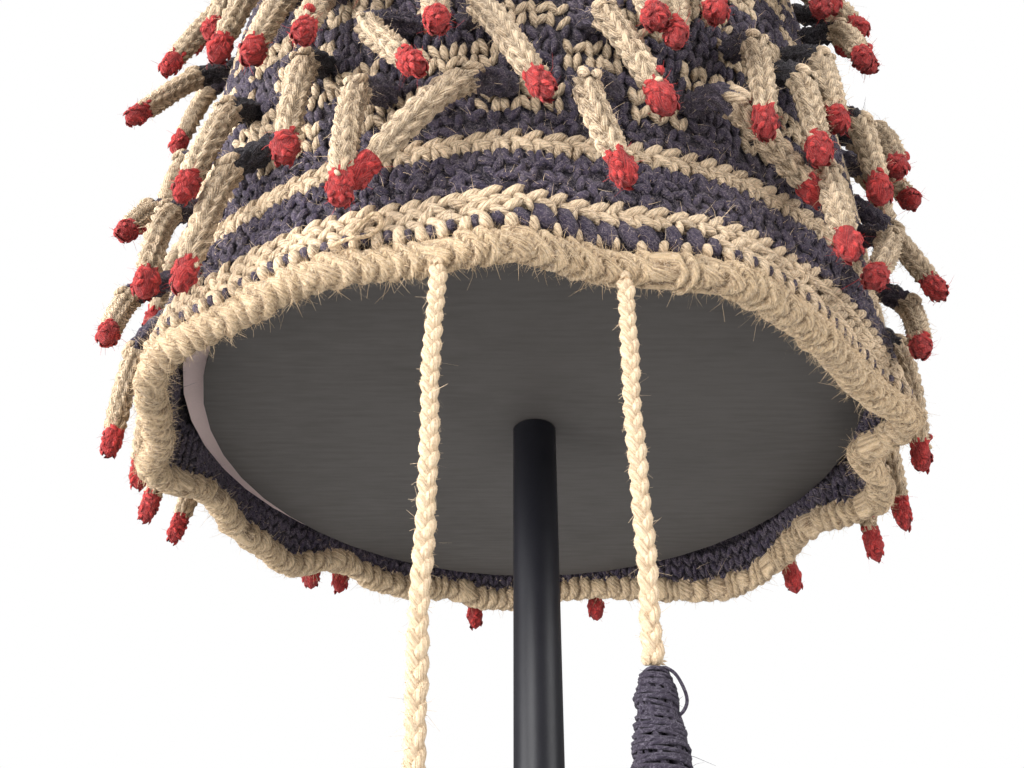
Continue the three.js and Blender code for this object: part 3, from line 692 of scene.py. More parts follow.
def spaced(points, step):
    """Points along a smooth line through the given ones, a step apart, and the distance to each."""
    points = np.asarray(points, float)
    knots = np.arange(len(points))
    fine = np.linspace(0, len(points) - 1, (len(points) - 1) * 16 + 1)
    i = np.clip(fine.astype(int), 0, len(points) - 2)
    f = (fine - i)[:, None]
    before, after = points[np.maximum(i - 1, 0)], points[np.minimum(i + 2, len(points) - 1)]
    near, far = points[i], points[i + 1]
    line = 0.5 * (
        2 * near
        + (far - before) * f
        + (2 * before - 5 * near + 4 * far - after) * f**2
        + (3 * near - before - 3 * far + after) * f**3
    )
    along = np.concatenate([[0], np.cumsum(np.linalg.norm(np.diff(line, axis=0), axis=1))])
    count = max(3, round(along[-1] / step) + 1)
    wanted = np.linspace(0, along[-1], count)
    return np.stack([np.interp(wanted, along, line[:, k]) for k in range(3)], -1), wanted


def tube(centres, radius, sides, tone, mat, depth=1.0, side_hint=(1.0, 0.0, 0.0), closed_ends=True):
    """A round or flattened tube along centres. radius may change along it."""
    tangent = np.gradient(centres, axis=0)
    tangent /= np.linalg.norm(tangent, axis=1)[:, None]
    side = np.array(side_hint)[None, :] - tangent * (tangent @ np.array(side_hint))[:, None]
    side /= np.linalg.norm(side, axis=1)[:, None]
    front = np.cross(side, tangent)
    angle = np.linspace(0, 2 * math.pi, sides, endpoint=False)
    radius = np.broadcast_to(radius, (len(centres),)).astype(float).copy()
    if closed_ends:
        radius[[0, -1]] *= 0.05
    sideways = side[:, None, :] * np.cos(angle)[None, :, None]
    forwards = front[:, None, :] * (depth * np.sin(angle))[None, :, None]
    points = centres[:, None, :] + (sideways + forwards) * radius[:, None, None]
    length = np.concatenate([[0], np.cumsum(np.linalg.norm(np.diff(centres, axis=0), axis=1))])
    turned = np.minimum(angle, 2 * math.pi - angle)
    u = np.broadcast_to(turned[None, :] * radius.max() * 1000, points.shape[:2])
    uv = np.stack([u + tone * 31, np.broadcast_to(length[:, None] * 1000, points.shape[:2])], -1)
    return grid_part(points, True, uv, tone, 0.15, np.full((len(centres) - 1) * sides, mat))


def build_cords():
    """Two cords, each a plait of three strands along its route."""
    s = sizes()
    c = colours()
    material = yarn("cord_yarn_pale", c.cord, c.cord_painted_shade, 0.3)
    for index, (side, route) in enumerate(CORD_ROUTES.items()):
        path = np.array(route) / 1000
        centres, along = spaced(path, 0.0007)
        rng = np.random.default_rng(40 + index)
        parts = []
        for strand in range(3):
            phase = 2 * math.pi * (along / s.plait_pitch + strand / 3)
            uneven = 1 + 0.07 * np.sin(along * 310 + strand + index)
            sideways = 0.5 * s.cord_radius * np.sin(phase) * uneven
            deep = 0.3 * s.cord_radius * np.sin(2 * phase)
            line = centres + np.stack([sideways, deep, np.zeros_like(deep)], -1)
            radius = 0.54 * s.cord_radius * (1 + 0.06 * np.sin(phase * 2 + 1)) * uneven
            parts.append(tube(line, radius, 10, rng.uniform(0.3, 0.8), 0))
        piece = make_piece(f"cord_{side}_plait", parts, [material])
        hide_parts(f"chin_cord_{side}")
        ties = []
        # The tuft where the plait is tied off
        end = centres[-1]
        for _ in range(9):
            heading = np.array([rng.normal(0.5, 0.6), rng.normal(0, 0.5), -0.1 - 0.6 * rng.random()]) * 0.0014
            tip = end + np.array([0, 0, 0.0012]) + heading
            line, _ = spaced([end + [0, 0, 0.003], end + [0, 0, 0.0012] + heading * 0.3, tip], 0.0006)
            ties.append(tube(line, 0.00022, 5, rng.uniform(0.4, 0.9), 0))
        # The knot that ties it to the edge
        for turn in np.linspace(0, math.pi * 2, 7)[:-1]:
            heading = np.array([math.cos(turn), 0.4 * math.sin(turn), 0.5 * math.sin(turn * 2)]) * 0.0022
            top = centres[0] + np.array([0, 0, 0.0006])
            line, _ = spaced([top - heading * 0.7, top + [0, -0.0006, 0.0009], top + heading * 0.7], 0.0006)
            ties.append(tube(line, 0.0007, 7, rng.uniform(0.4, 0.9), 0))
        make_piece(f"cord_{side}_ties", ties, [material])


def build_tassels():
    """Wound tassels: threads that hang in a bundle, with thread wound round the neck."""
    s = sizes()
    c = colours()
    material = yarn("tassel_yarn_navy", c.tassel, c.tassel_painted_shade, 0.16, (0.42, 0.38, 0.46))
    downs, wides = np.array(TASSEL_OUTLINE).T
    for index, (side, route) in enumerate(CORD_ROUTES.items()):
        rng = np.random.default_rng(60 + index)
        top = np.array(route[-1]) / 1000 - [0, 0, 0.0003]
        parts = []
        for strand in range(s.tassel_strands):
            share = math.sqrt((strand + 0.5) / s.tassel_strands)
            angle = strand * EVEN_SPREAD
            twist = rng.normal(0.9, 0.25)
            down = np.linspace(0, 1 - 0.05 * rng.random(), 17)
            wide = np.interp(down, downs, wides) * s.tassel_radius * share * 0.9
            turn = angle + twist * down + 0.12 * np.sin(down * 9 + strand)
            line = np.stack([wide * np.cos(turn), wide * np.sin(turn), -down * s.tassel_length], -1) + top
            parts.append(tube(line, s.thread_radius, 5, rng.uniform(0.1, 0.9), 0))
        # Four threads wound round it side by side, with loops that lean a little
        for thread in range(4):
            loops = 15
            t = np.linspace(0, loops * 2 * math.pi, loops * 18)
            down = 0.012 + 0.84 * t / t[-1]
            uneven = 0.97 + 0.04 * np.sin(0.41 * t + 2 * thread)
            wide = np.interp(down, downs, wides) * s.tassel_radius * uneven
            drop = down + 0.016 * np.sin(t + thread) * np.sin(0.13 * t + thread) + 0.006 * np.sin(1.7 * t)
            turn = t + thread * math.pi / 2
            line = np.stack([wide * np.cos(turn), wide * np.sin(turn), -drop * s.tassel_length], -1) + top
            tone = rng.uniform(0.2, 0.9)
            parts.append(tube(line, s.thread_radius * 0.65, 5, tone, 0, side_hint=(0, 0, 1.0)))
        arc, _ = spaced(np.array(TASSEL_ARC) / 1000 + top, 0.0005)
        parts.append(tube(arc, 0.0003, 5, 0.2, 0, side_hint=(0, 1.0, 0)))
        piece = make_piece(f"tassel_{side}_wound", parts, [material])
        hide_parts(f"tassel_{side}")


def build_roll():
    """The thick edge with yarn wound over it."""
    s = sizes()
    c = colours()
    rng = np.random.default_rng(3)
    columns, around = s.wrap_count * 12, 22
    turn = np.linspace(-180, 180, columns, endpoint=False)[None, :]
    # The section starts at the top, where the wall hides the seam
    section = math.pi / 2 + np.linspace(0, 2 * math.pi, around, endpoint=False)[:, None]
    lean = 0.5 * np.sin(section - 0.6) + 0.3 * np.sin(2 * section)
    wander = np.interp(turn[0], np.linspace(-180, 180, 121), rng.normal(0, 0.5, 121), period=360)[None, :]
    place = turn / 360 * s.wrap_count + lean * (1 + 0.35 * wander) + wander * 0.8
    wrap = np.floor(place).astype(int) % s.wrap_count
    share = place % 1
    # Every wrap is a few strands, so it has small furrows between the deep creases
    hump = np.sin(math.pi * share**0.8) ** 0.6
    strands = 3 + wrap % 2
    furrow = np.abs(np.sin(math.pi * share * strands)) ** 0.5
    big = rng.normal(1, 0.2, s.wrap_count)[wrap]
    middle = s.head_radius + s.wall / 2
    swell, lift = fold_at(turn)
    thick = s.roll_radius + 0.0001
    ripple = 0.00025 * np.sin(section * 3 + wrap * 1.9)
    raised = hump * (0.72 + 0.28 * furrow)
    radius = thick - s.wrap_depth * 0.75 + s.wrap_depth * raised * big + ripple
    radial = middle + swell + radius * np.cos(section)
    height = lift + radius * np.sin(section)
    angle = np.radians(turn) + 0 * section
    points = to_row(np.stack([radial * np.cos(angle), radial * np.sin(angle), height], -1))
    u = share * 3.2 + wrap * 1.7
    uv = np.stack([u, section * s.roll_radius * 1000 + 0 * turn], -1)
    tone = rng.uniform(0.1, 1, (s.wrap_count, 4))[wrap, np.floor(share * strands).astype(int)]
    # Painted shade: the crease value darkens the grooves between the wraps and their strands
    part = grid_part(points, True, uv, tone, 1 - raised, np.zeros((around - 1) * columns, int))
    seam = np.arange(columns)
    following = (seam + 1) % columns
    last = (around - 1) * columns
    join = np.stack([last + seam, last + following, following, seam], -1)
    part["faces"] = np.concatenate([part["faces"], join])
    part["mat"] = np.zeros(len(part["faces"]), int)
    material = yarn("roll_yarn_pale", c.roll, c.roll_painted_shade, 0.3)
    # A small loop of yarn that has come loose at the front, with its free end
    t = np.linspace(-0.3, 2 * math.pi + 0.2, 30)
    up = 0.0072 + 0.0032 * np.sin(t + 0.5)
    loop = crown_point(-108.9 + 1.7 * np.cos(t), up, 0.0024 + 0.0005 * np.sin(2 * t))
    t = np.linspace(0, 1, 14)
    free_end = crown_point(-109.2 - 4 * t, 0.0036 - 0.0012 * t**2, 0.0031 + 0.0003 * np.sin(5 * t))
    outwards = (0.33, 0.94, 0.0)
    parts = [part] + [tube(to_row(line), 0.00045, 7, 0.9, 0, side_hint=outwards) for line in (loop, free_end)]
    piece = make_piece("edge_roll_wound", parts, [material])
    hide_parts("edge_roll")


def chain_row(run, rng, stand, apart=0.0009, where=None):
    """A row that looks like a plait lying on its side. where picks the angles that have it."""
    s = sizes()
    radius = s.head_radius + s.wall
    rows = []
    for shift, rise, lean, depth in ((0, apart, 60, 0.0014), (0.45, -apart, 120, 0.0013)):
        turns = even_turns(radius, s.stitch_pitch, shift=shift)
        if where is not None:
            turns = turns[where(turns)]
        rows.append(wall_lobes(turns, run + rise, stand, math.radians(lean), TAN, rng,
                               length=s.lobe_length * 1.1, width=0.0025, depth=depth, loose=1.6))
    return rows


def front_patches(turns):
    """1 at the front, where the lowest zone has navy patches, and 0 where it has only small navy dots."""
    rises = 1 / (1 + np.exp(-(turns + 91) / 1.3))
    falls = 1 / (1 + np.exp((turns + 67) / 0.8))
    return rises * falls


def lowest_zone(rng):
    """Between the roll and the first chain: navy with tan teeth, or tan with small navy dots."""
    s = sizes()
    turns = even_turns(s.head_radius + s.wall, 0.0046)
    strong = front_patches(turns)
    half = 180 / len(turns)
    foot = wall_foot()
    toothed = strong > 0.3
    plain_part = lambda angles: front_patches(angles) < 0.4
    parts = [
        wall_lobes(turns, foot + 0.0014 + 0.0019 * strong, 0.0003, -0.38, NAVY, rng,
                   length=0.0031 + 0.0052 * strong, width=0.0023 + 0.0021 * strong, depth=0.0014, loose=1.8),
        wall_lobes(turns + half, foot + 0.0006 - 0.0004 * strong, 0.0005, -0.25, TAN, rng,
                   length=0.0047 - 0.0012 * strong, width=0.0029 - 0.0006 * strong, depth=0.0016, loose=1.8),
        wall_lobes((turns + half * 0.7)[toothed], 0.0101, 0.0006, -0.3, TAN, rng,
                   length=0.0036, width=0.0016, depth=0.0014, loose=1.8),
    ]
    return parts + chain_row(foot + 0.0044, rng, 0.0001, where=plain_part)


def stitch_row(run, rng, stand, mat, spread=24, wide=1.0, inside=False, every=1, start=0, **shape):
    """A row of upright stitches, each a V of two legs."""
    s = sizes()
    radius = max(float(crown_line(run)[0]), 0.006)
    turns = even_turns(radius, s.stitch_pitch)[start::every]
    gap = np.degrees(0.25 * s.stitch_pitch / radius)
    shape = {"inside": inside, "width": s.lobe_width * wide, **shape}
    return [
        wall_lobes(turns + sign * gap, run, stand, sign * math.radians(spread), mat, rng, **shape)
        for sign in (-1, 1)
    ]


def build_band():
    """The straight band between the roll and the burls, outside and inside."""
    s = sizes()
    rng = np.random.default_rng(5)
    parts = []
    for height, kind in OUTER_ROWS:
        run = height / 1000
        if kind == "chain":
            parts += chain_row(run, rng, 0.0003)
        elif kind == "navy":
            parts += stitch_row(run, rng, 0, NAVY, spread=36, loose=4.6, length=0.0046, depth=0.001)
        elif kind == "points":
            parts += stitch_row(run + 0.0016, rng, 0.0001, TAN, spread=16, length=0.0048, loose=1.8)
            parts += stitch_row(run - 0.0012, rng, -0.0003, NAVY, length=0.0048, loose=2.4)
        elif kind == "teeth":
            parts += lowest_zone(rng)
    edges = [wall_foot()] + [(a[0] + b[0]) / 2000 for a, b in zip(OUTER_ROWS, OUTER_ROWS[1:])] + [0.0398]
    colour = [TAN if kind == "chain" else NAVY for _, kind in OUTER_ROWS]
    parts.append(backing(np.array(edges), 360, -0.0006, np.array(colour)))
    wall = -s.wall
    for height, kind in INNER_ROWS:
        run = height / 1000
        inner = {"inside": True, "rings": 3, "sides": 3}
        if kind == "dots":
            parts += stitch_row(run, rng, wall, NAVY, **inner)
            dots = {"wide": 0.5, "every": 2, "length": 0.0026, **inner}
            parts += stitch_row(run + 0.0004, rng, wall - 0.0001, TAN, **dots)
        else:
            parts += stitch_row(run, rng, wall, NAVY, **inner)
    inside_edges = np.array([0.0005, 0.004, 0.01, 0.02, 0.0398])
    parts.append(backing(inside_edges, 360, wall + 0.0008, np.array([TAN, NAVY, NAVY, NAVY]), inside=True))
    piece = make_piece("crown_band_stitches", parts, yarns()[:2])
    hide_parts("crown_band")


def block_colours(turns, row):
    """Tan blocks on navy, set like bricks."""
    width = 17.0
    shift = (row // 3) * 8.5
    place = (turns + 180 + shift) % width / width
    tan = (place < 0.62) & (row % 3 != 2)
    return np.where(tan, TAN, NAVY)


def rows_between(start, end, step, rng, rings, sides):
    """Rows of upright stitches in blocks of tan and navy, from one run to another."""
    parts = []
    for row, run in enumerate(np.arange(start, end, step)):
        radius = float(crown_line(run)[0])
        if radius < 0.007:
            break
        turns = even_turns(radius, 0.0048)
        mats = block_colours(turns, row)
        gap = np.degrees(0.0012 / radius)
        for sign in (-1, 1):
            parts.append(wall_lobes(turns + sign * gap, run, 0.0005, sign * math.radians(20), mats, rng,
                                    length=step * 1.25, width=0.0023, depth=0.0013, loose=3.0,
                                    rings=rings, sides=sides))
    return parts


def build_wall():
    """The wall behind the burls, in blocks of tan and navy."""
    s = sizes()
    rng = np.random.default_rng(7)
    parts = rows_between(s.band_height + 0.0012, s.shoulder_height, 0.0045, rng, rings=3, sides=3)
    runs = np.linspace(s.band_height - 0.0002, s.shoulder_height, 9)
    parts.append(backing(runs, 180, -0.0004, np.full(8, NAVY)))
    parts.append(backing(runs, 180, -s.wall, np.full(8, NAVY), inside=True))
    piece = make_piece("crown_wall_stitches", parts, yarns()[:2])
    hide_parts("crown")


def build_dome():
    """The domed top."""
    s = sizes()
    rng = np.random.default_rng(8)
    parts = rows_between(s.shoulder_height + 0.0022, crown_run(), 0.005, rng, rings=3, sides=2)
    runs = np.linspace(s.shoulder_height, crown_run() - 0.0004, 14)
    parts.append(backing(runs, 120, -0.0004, np.full(13, NAVY)))
    parts.append(backing(runs, 120, -s.wall, np.full(13, NAVY), inside=True))
    piece = make_piece("crown_dome_stitches", parts, yarns()[:2])
    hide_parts("crown_dome")


def burl_table():
    """Every burl, the shown ones first, with the rows a little uneven in a fixed way."""
    rows = []
    for level, start, end, count in BURL_ROWS:
        for i in range(count):
            chance = lambda k: (math.sin((len(rows) + 1) * k) * 437.58) % 1 - 0.5
            rows.append((
                start + (end - start) * (i + 0.5) / count + 5 * chance(1.3),
                level + 0.02 * chance(2.1),
                0.25 + 0.06 * chance(3.7),
                0.2 * chance(4.9),
                0.6 * chance(4.9) + 0.3 * chance(5.3),
                0.76 + 0.14 * chance(6.1),
                0.3 + 0.14 * chance(7.7),
            ))
    return np.array(list(SHOWN_BURLS) + rows, float)


def burl_lines(table, rings):
    """Points at even steps along each burl, and the vectors ahead, beside and above there."""
    s = sizes()
    turn, level, out, lean, sway, fall, stand = table.T
    run = level * crown_run()
    span = s.burl_length
    round_step = np.degrees(span / np.maximum(crown_line(run)[0], span / 2))
    plain = lambda t, r, off: np.stack([
        (crown_line(r)[0] + crown_line(r)[2] * off) * np.cos(np.radians(t)),
        (crown_line(r)[0] + crown_line(r)[2] * off) * np.sin(np.radians(t)),
        crown_line(r)[1] + crown_line(r)[3] * off,
    ], -1)
    root = plain(turn, run, 0.0009)
    elbow = plain(turn + lean * round_step, run - fall * span / 5, out * span)
    tip = plain(turn + sway * round_step, run - fall * span, stand * span)
    t = np.linspace(0, 1, 161)[None, :, None]
    curve = root[:, None] * (1 - t) ** 3 + 3 * elbow[:, None] * t * (1 - t) + tip[:, None] * t**3
    along = np.concatenate(
        [np.zeros((len(table), 1)), np.cumsum(np.linalg.norm(np.diff(curve, axis=1), axis=2), axis=1)], axis=1
    )
    wanted = np.linspace(0, 1, rings)
    lines = np.empty((len(table), rings, 3))
    for i in range(len(table)):
        for k in range(3):
            lines[i, :, k] = np.interp(wanted * along[i, -1], along[i], curve[i, :, k])
    lines = to_row(lines)
    ahead = np.gradient(lines, axis=1)
    ahead /= np.linalg.norm(ahead, axis=2, keepdims=True)
    angle = np.radians(turn)
    origin = to_row(np.zeros(3))
    across = to_row(np.stack([-np.sin(angle), np.cos(angle), 0 * angle], -1)) - origin
    beside = across[:, None] - ahead * (across[:, None] * ahead).sum(-1, keepdims=True)
    beside /= np.linalg.norm(beside, axis=2, keepdims=True)
    return lines, ahead, beside, np.cross(ahead, beside), along[:, -1]


def burl_part(table, rings, sides, rng, dark):
    """Burls as crocheted tubes with navy roots, tan fingers and red tips."""
    s = sizes()
    count = len(table)
    lines, ahead, beside, above, reach = burl_lines(table, rings)
    along = np.linspace(0, 1, rings)[None, :, None]
    angle = np.linspace(0, 2 * math.pi, sides, endpoint=False)[None, None, :]
    legs = 7
    twist = rng.uniform(-1.6, 1.6, count)[:, None, None] * along
    column = angle / (2 * math.pi) * legs + rng.uniform(0, legs, count)[:, None, None] + twist
    x = column % 1 - 0.5
    slant = np.where(np.floor(column) % 2 == 0, 1.0, -1.0)
    row_shift = rng.uniform(0, 1, count)[:, None, None]
    row = along * reach[:, None, None] / s.burl_row + slant * x * 0.9 + row_shift
    legged = 0.25 + 0.75 * np.clip(1 - (2 * x) ** 2, 0, 1)
    leg = legged * (0.1 + 0.9 * np.abs(np.sin(math.pi * row)))
    root_end = (0.3 + rng.normal(0, 0.04, count)).clip(0.2, 0.4)[:, None, None]
    red_from = (0.82 + rng.normal(0, 0.012, count)).clip(0.79, 0.85)[:, None, None]
    body = s.burl_radius * (1 - 0.1 * along) * np.ones((count, rings, sides))
    body *= 1 + 0.1 * np.exp(-(((along - root_end - 0.02) / 0.03) ** 2))
    body *= 1 - 0.1 * np.exp(-(((along - red_from + 0.01) / 0.03) ** 2))
    half = (1 - red_from) / 2 + 0.01
    bulb_at = 1 - half
    swollen = np.sqrt(np.clip(1 - ((along - bulb_at) / half) ** 2, 0, 1))
    size = rng.normal(1, 0.06, count).clip(0.88, 1.1)[:, None, None]
    bulb = s.bulb_radius * size * swollen
    in_red = along > red_from
    wave = np.sin(angle * 5 + along * 60 + rng.uniform(0, 6, count)[:, None, None])
    lump = 0.5 + 0.5 * wave * np.sin(along * 95 + angle * 2)
    smooth_bulb = np.where(along > bulb_at, bulb, np.maximum(bulb, body))
    radius = np.where(in_red, smooth_bulb - 0.0003 + 0.0004 * lump * swollen, body - 0.0008 + 0.0016 * leg)
    radius = np.maximum(radius, 0.0001)
    points = (
        lines[:, :, None, :]
        + beside[:, :, None, :] * (radius * np.cos(angle))[..., None]
        + above[:, :, None, :] * (radius * np.sin(angle))[..., None]
    )
    tone_row = rng.uniform(0.15, 0.85, (count, 64, legs))
    index_row = np.floor(row).astype(int) % 64
    index_leg = np.broadcast_to(np.floor(column).astype(int) % legs, index_row.shape)
    tone = tone_row[np.arange(count)[:, None, None], index_row, index_leg]
    tone = tone + rng.normal(0, 0.08, (count, 1, 1))
    # Painted shade: the crease value darkens the grooves between the legs and, on the red tips, the hollows
    # between the lumps and the whole tip a little
    crease = np.where(in_red, 0.8 - 0.35 * lump, 1.05 - leg) * np.ones_like(radius)
    u = np.broadcast_to((x * slant * 3.1 + np.floor(column) * 1.3), radius.shape)
    v = np.broadcast_to(row * s.burl_row * 1000, radius.shape)
    one = grid_faces(rings, sides, True)
    step = rings * sides
    middle = (along[0, :-1, 0] + along[0, 1:, 0]) / 2
    jitter = rng.uniform(-0.012, 0.012, (count, 1, sides))
    face_at = middle[None, :, None] + jitter
    mat = np.where(face_at < root_end, np.where(dark[:, None, None], BLACK, NAVY), TAN)
    mat = np.where(face_at > red_from + 0.005, RED, mat)
    parts = [{
        "co": points.reshape(-1, 3),
        "faces": (one[None] + (np.arange(count) * step)[:, None, None]).reshape(-1, 4),
        "uv": np.stack([u, v], -1).reshape(-1, 2),
        "tone": np.clip(tone, 0, 1).ravel(),
        "crease": crease.ravel(),
        "mat": mat.reshape(-1),
    }]

    def knots(share, at, length, width, depth, mat, tilt, angle_at, fine=5):
        chosen = np.flatnonzero(rng.random(count) < share)
        ring = np.clip((at[chosen] * (rings - 1)).astype(int), 1, rings - 2)
        where = angle_at[chosen]
        out = beside[chosen, ring] * np.cos(where)[:, None] + above[chosen, ring] * np.sin(where)[:, None]
        side = np.cross(ahead[chosen, ring], out)
        wide = radius[chosen, ring].mean(-1)
        spots = lines[chosen, ring] + out * wide[:, None]
        axes = (side, ahead[chosen, ring], out)
        shades = rng.uniform(0.1, 0.9, len(chosen))
        made = lobes(spots, axes, length, width, depth, tilt[chosen], shades, mat, rings=fine, sides=fine)
        parts.append(made)

    flat = np.zeros(count)
    red_at, root_at = red_from[:, 0, 0], root_end[:, 0, 0]
    facing = rng.uniform(0, 2 * math.pi, count)
    knots(0.12, red_at - 0.06, 0.0034, 0.0026, 0.0018, RED, rng.normal(0.6, 0.5, count), facing)
    knots(0.2, red_at - 0.02, 0.0032, 0.0024, 0.0016, RED, rng.normal(0.9, 0.5, count), facing + 0.5)
    knots(0.3, red_at + 0.05, 0.002, 0.0011, 0.0011, TAN, rng.normal(0, 0.8, count), facing + 1.2)
    # The loops that make the red tips lumpy
    loops = 26 if sides > 20 else 10
    for loop in range(loops):
        place = 0.012 + 0.155 * ((loop + 0.5) / loops) + rng.normal(0, 0.008, count)
        knots(0.9, red_at + place, 0.003, 0.0014, 0.0007, RED, rng.uniform(-1.2, 1.2, count),
              loop * EVEN_SPREAD + rng.normal(0, 0.3, count), fine=3)
    for off in (-0.5, 0.5):
        where = np.full(count, math.pi / 2 + off)
        knots(0.95, root_at + 0.005, 0.0062, 0.0026, 0.0017, TAN, flat - off * 0.5, where)
    return parts


def build_burls():
    """The burls that face the photo's side are finer than the others."""
    table = burl_table()
    index = np.arange(len(table))
    turn = (table[:, 0] + 180) % 360 - 180
    near = (index < len(SHOWN_BURLS)) | ((turn > -165) & (turn < -15) & (table[:, 1] < 0.6))
    dark = np.isin(index, (0, 2, 18, 19, 21)) | (np.sin(index * 12.9) > 0.86)
    for name, chosen, rings, sides, seed in (("near", near, 45, 26, 11), ("far", ~near, 31, 12, 12)):
        parts = burl_part(table[chosen], rings, sides, np.random.default_rng(seed), dark[chosen])
        piece = make_piece(f"burls_{name}", parts, yarns())
        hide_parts("burl_coat")


def fibres(source, count, rng, length, wild=0.7):
    """Loose fibres on a piece's faces, each a bent sliver with the face's material."""
    s = sizes()
    mesh = source.data
    faces = len(mesh.polygons)
    area, mat = np.empty(faces, np.float32), np.empty(faces, np.int32)
    centre, normal = np.empty(faces * 3, np.float32), np.empty(faces * 3, np.float32)
    mesh.polygons.foreach_get("area", area)
    mesh.polygons.foreach_get("material_index", mat)
    mesh.polygons.foreach_get("center", centre)
    mesh.polygons.foreach_get("normal", normal)
    crease = np.empty(len(mesh.vertices), np.float32)
    mesh.attributes["crease"].data.foreach_get("value", crease)
    corner = np.empty(faces * 4, np.int32)
    mesh.loops.foreach_get("vertex_index", corner)
    weight = area * (1.02 - crease[corner.reshape(-1, 4)].mean(1)).clip(0.02, 1)
    # The side that the photograph shows has the most
    weight = weight * np.where(centre[1::3] < 0, 3, 1)
    picked = rng.choice(faces, count, p=weight / weight.sum())
    mat = mat[picked]
    if len(mesh.materials) > 1:
        # Pale fibres cling to the navy stitches too
        mat = np.where((mat == NAVY) & (rng.random(count) < 0.34), TAN, mat)
    start = centre.reshape(-1, 3)[picked].astype(float)
    out = normal.reshape(-1, 3)[picked].astype(float)
    side = rng.normal(0, 1, (count, 3))
    side -= out * (side * out).sum(1)[:, None]
    side /= np.linalg.norm(side, axis=1)[:, None]
    lean = rng.uniform(0.2, 1.6, count)[:, None] * wild
    heading = out + side * lean
    heading /= np.linalg.norm(heading, axis=1)[:, None]
    curl = np.cross(heading, rng.normal(0, 1, (count, 3)))
    span = (length * rng.lognormal(0, 0.5, count)).clip(0.0004, length * 3)[:, None]
    steps = 3
    share = np.linspace(0, 1, steps)[None, :, None]
    spine = start[:, None] - out[:, None] * 0.0002 + heading[:, None] * span[:, None] * share
    spine += curl[:, None] * span[:, None] * 0.45 * share**2
    thin = np.cross(heading, curl)
    thin /= np.maximum(np.linalg.norm(thin, axis=1), 1e-9)[:, None]
    width = s.fibre_width * (1 - 0.7 * share) / 2
    points = np.stack([spine - thin[:, None] * width, spine + thin[:, None] * width], 2)
    step = steps * 2
    one = np.array([[2 * i, 2 * i + 1, 2 * i + 3, 2 * i + 2] for i in range(steps - 1)])
    total = count * step
    return {
        "co": points.reshape(-1, 3),
        "faces": (one[None] + (np.arange(count) * step)[:, None, None]).reshape(-1, 4),
        "uv": np.zeros((total, 2)),
        "tone": np.repeat(rng.uniform(0.4, 1, count), step),
        "crease": np.zeros(total),
        "mat": np.repeat(mat, steps - 1),
    }


def build_fibres():
    """The fuzz that stands off every yarn piece."""
    s = sizes()
    pale = yarns()
    plans = (
        ("fibres_roll", "edge_roll_wound", 0.2, 1.1, "tan_yarn"),
        ("fibres_band", "crown_band_stitches", 0.26, 1.0, "navy_yarn"),
        ("fibres_wall", "crown_wall_stitches", 0.1, 1.0, "navy_yarn"),
        ("fibres_dome", "crown_dome_stitches", 0.03, 1.0, "navy_yarn"),
        ("fibres_burls_near", "burls_near", 0.28, 0.9, "burl_yarn"),
        ("fibres_burls_far", "burls_far", 0.06, 0.9, "burl_yarn"),
        ("fibres_cord_left", "cord_left_plait", 0.04, 0.9, "cord_yarn"),
        ("fibres_cord_right", "cord_right_plait", 0.032, 0.9, "cord_yarn"),
        ("fibres_tassel_left", "tassel_left_wound", 0.006, 0.8, "navy_yarn"),
        ("fibres_tassel_right", "tassel_right_wound", 0.008, 0.8, "navy_yarn"),
    )
    for seed, (name, source, share, long, slot) in enumerate(plans):
        rng = np.random.default_rng(100 + seed)
        host = bpy.data.objects[source]
        part = fibres(host, int(s.fibre_count * share), rng, s.fibre_length * long)
        make_piece(name, [part], list(host.data.materials))


def turned_parts(outline, sides=128):
    """A turned solid from (radius, height) pairs, with a sharp edge at each pair."""
    turn = np.linspace(0, 2 * math.pi, sides, endpoint=False)
    parts = []
    for ends in zip(outline, outline[1:]):
        points = np.array([[(r * math.cos(t), r * math.sin(t), z) for t in turn] for r, z in ends])
        parts.append(grid_part(points, True, points[..., :2], 0.5, 0.0, np.zeros(sides, int)))
    return parts


def build_stand():
    """Materials for the plate and the board, and a smooth rod and foot."""
    c = colours()
    paint = worn("satin_black_paint", c.paint, c.paint_worn, 0.4, 9.0, 2200.0, bump=0.04, specular=0.26)
    plate = worn(
        "dark_grey_plate", c.plate, c.plate_dark, 0.62, 14.0, 620.0, stretch=0.12, bump=0.35, specular=0.35
    )
    board = worn("pale_foam_board", c.board, c.board_dark, 0.8, 20.0, 1500.0, bump=0.2, specular=0.25)
    for name, material in (("stand_plate", plate), ("support_board", board)):
        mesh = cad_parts[name].data
        mesh.materials.clear()
        mesh.materials.append(material)
    rod = ((0, 0.0083), (0.006, 0.0083), (0.006, 0.2997), (0, 0.2997))
    foot = ((0, 0), (0.1, 0), (0.1, 0.0065), (0.0985, 0.008), (0, 0.008))
    for name, outline in (("stand_rod", rod), ("stand_base", foot)):
        piece = make_piece(f"{name}_turned", turned_parts(outline), [paint])
        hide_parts(name)


def area_light(name, energy, size, place, aim):
    light = bpy.data.lights.new(name, "AREA")
    light.energy = energy
    light.size = size
    holder = bpy.data.objects.new(name, light)
    bpy.context.scene.collection.objects.link(holder)
    offset = np.array(aim, float) - np.array(place, float)
    holder.matrix_world = Matrix.Translation(place) @ look_along(offset)


def look_along(offset):
    """The rotation that turns a light's -Z along an offset."""
    return Vector(offset).to_track_quat("-Z", "Y").to_matrix().to_4x4()


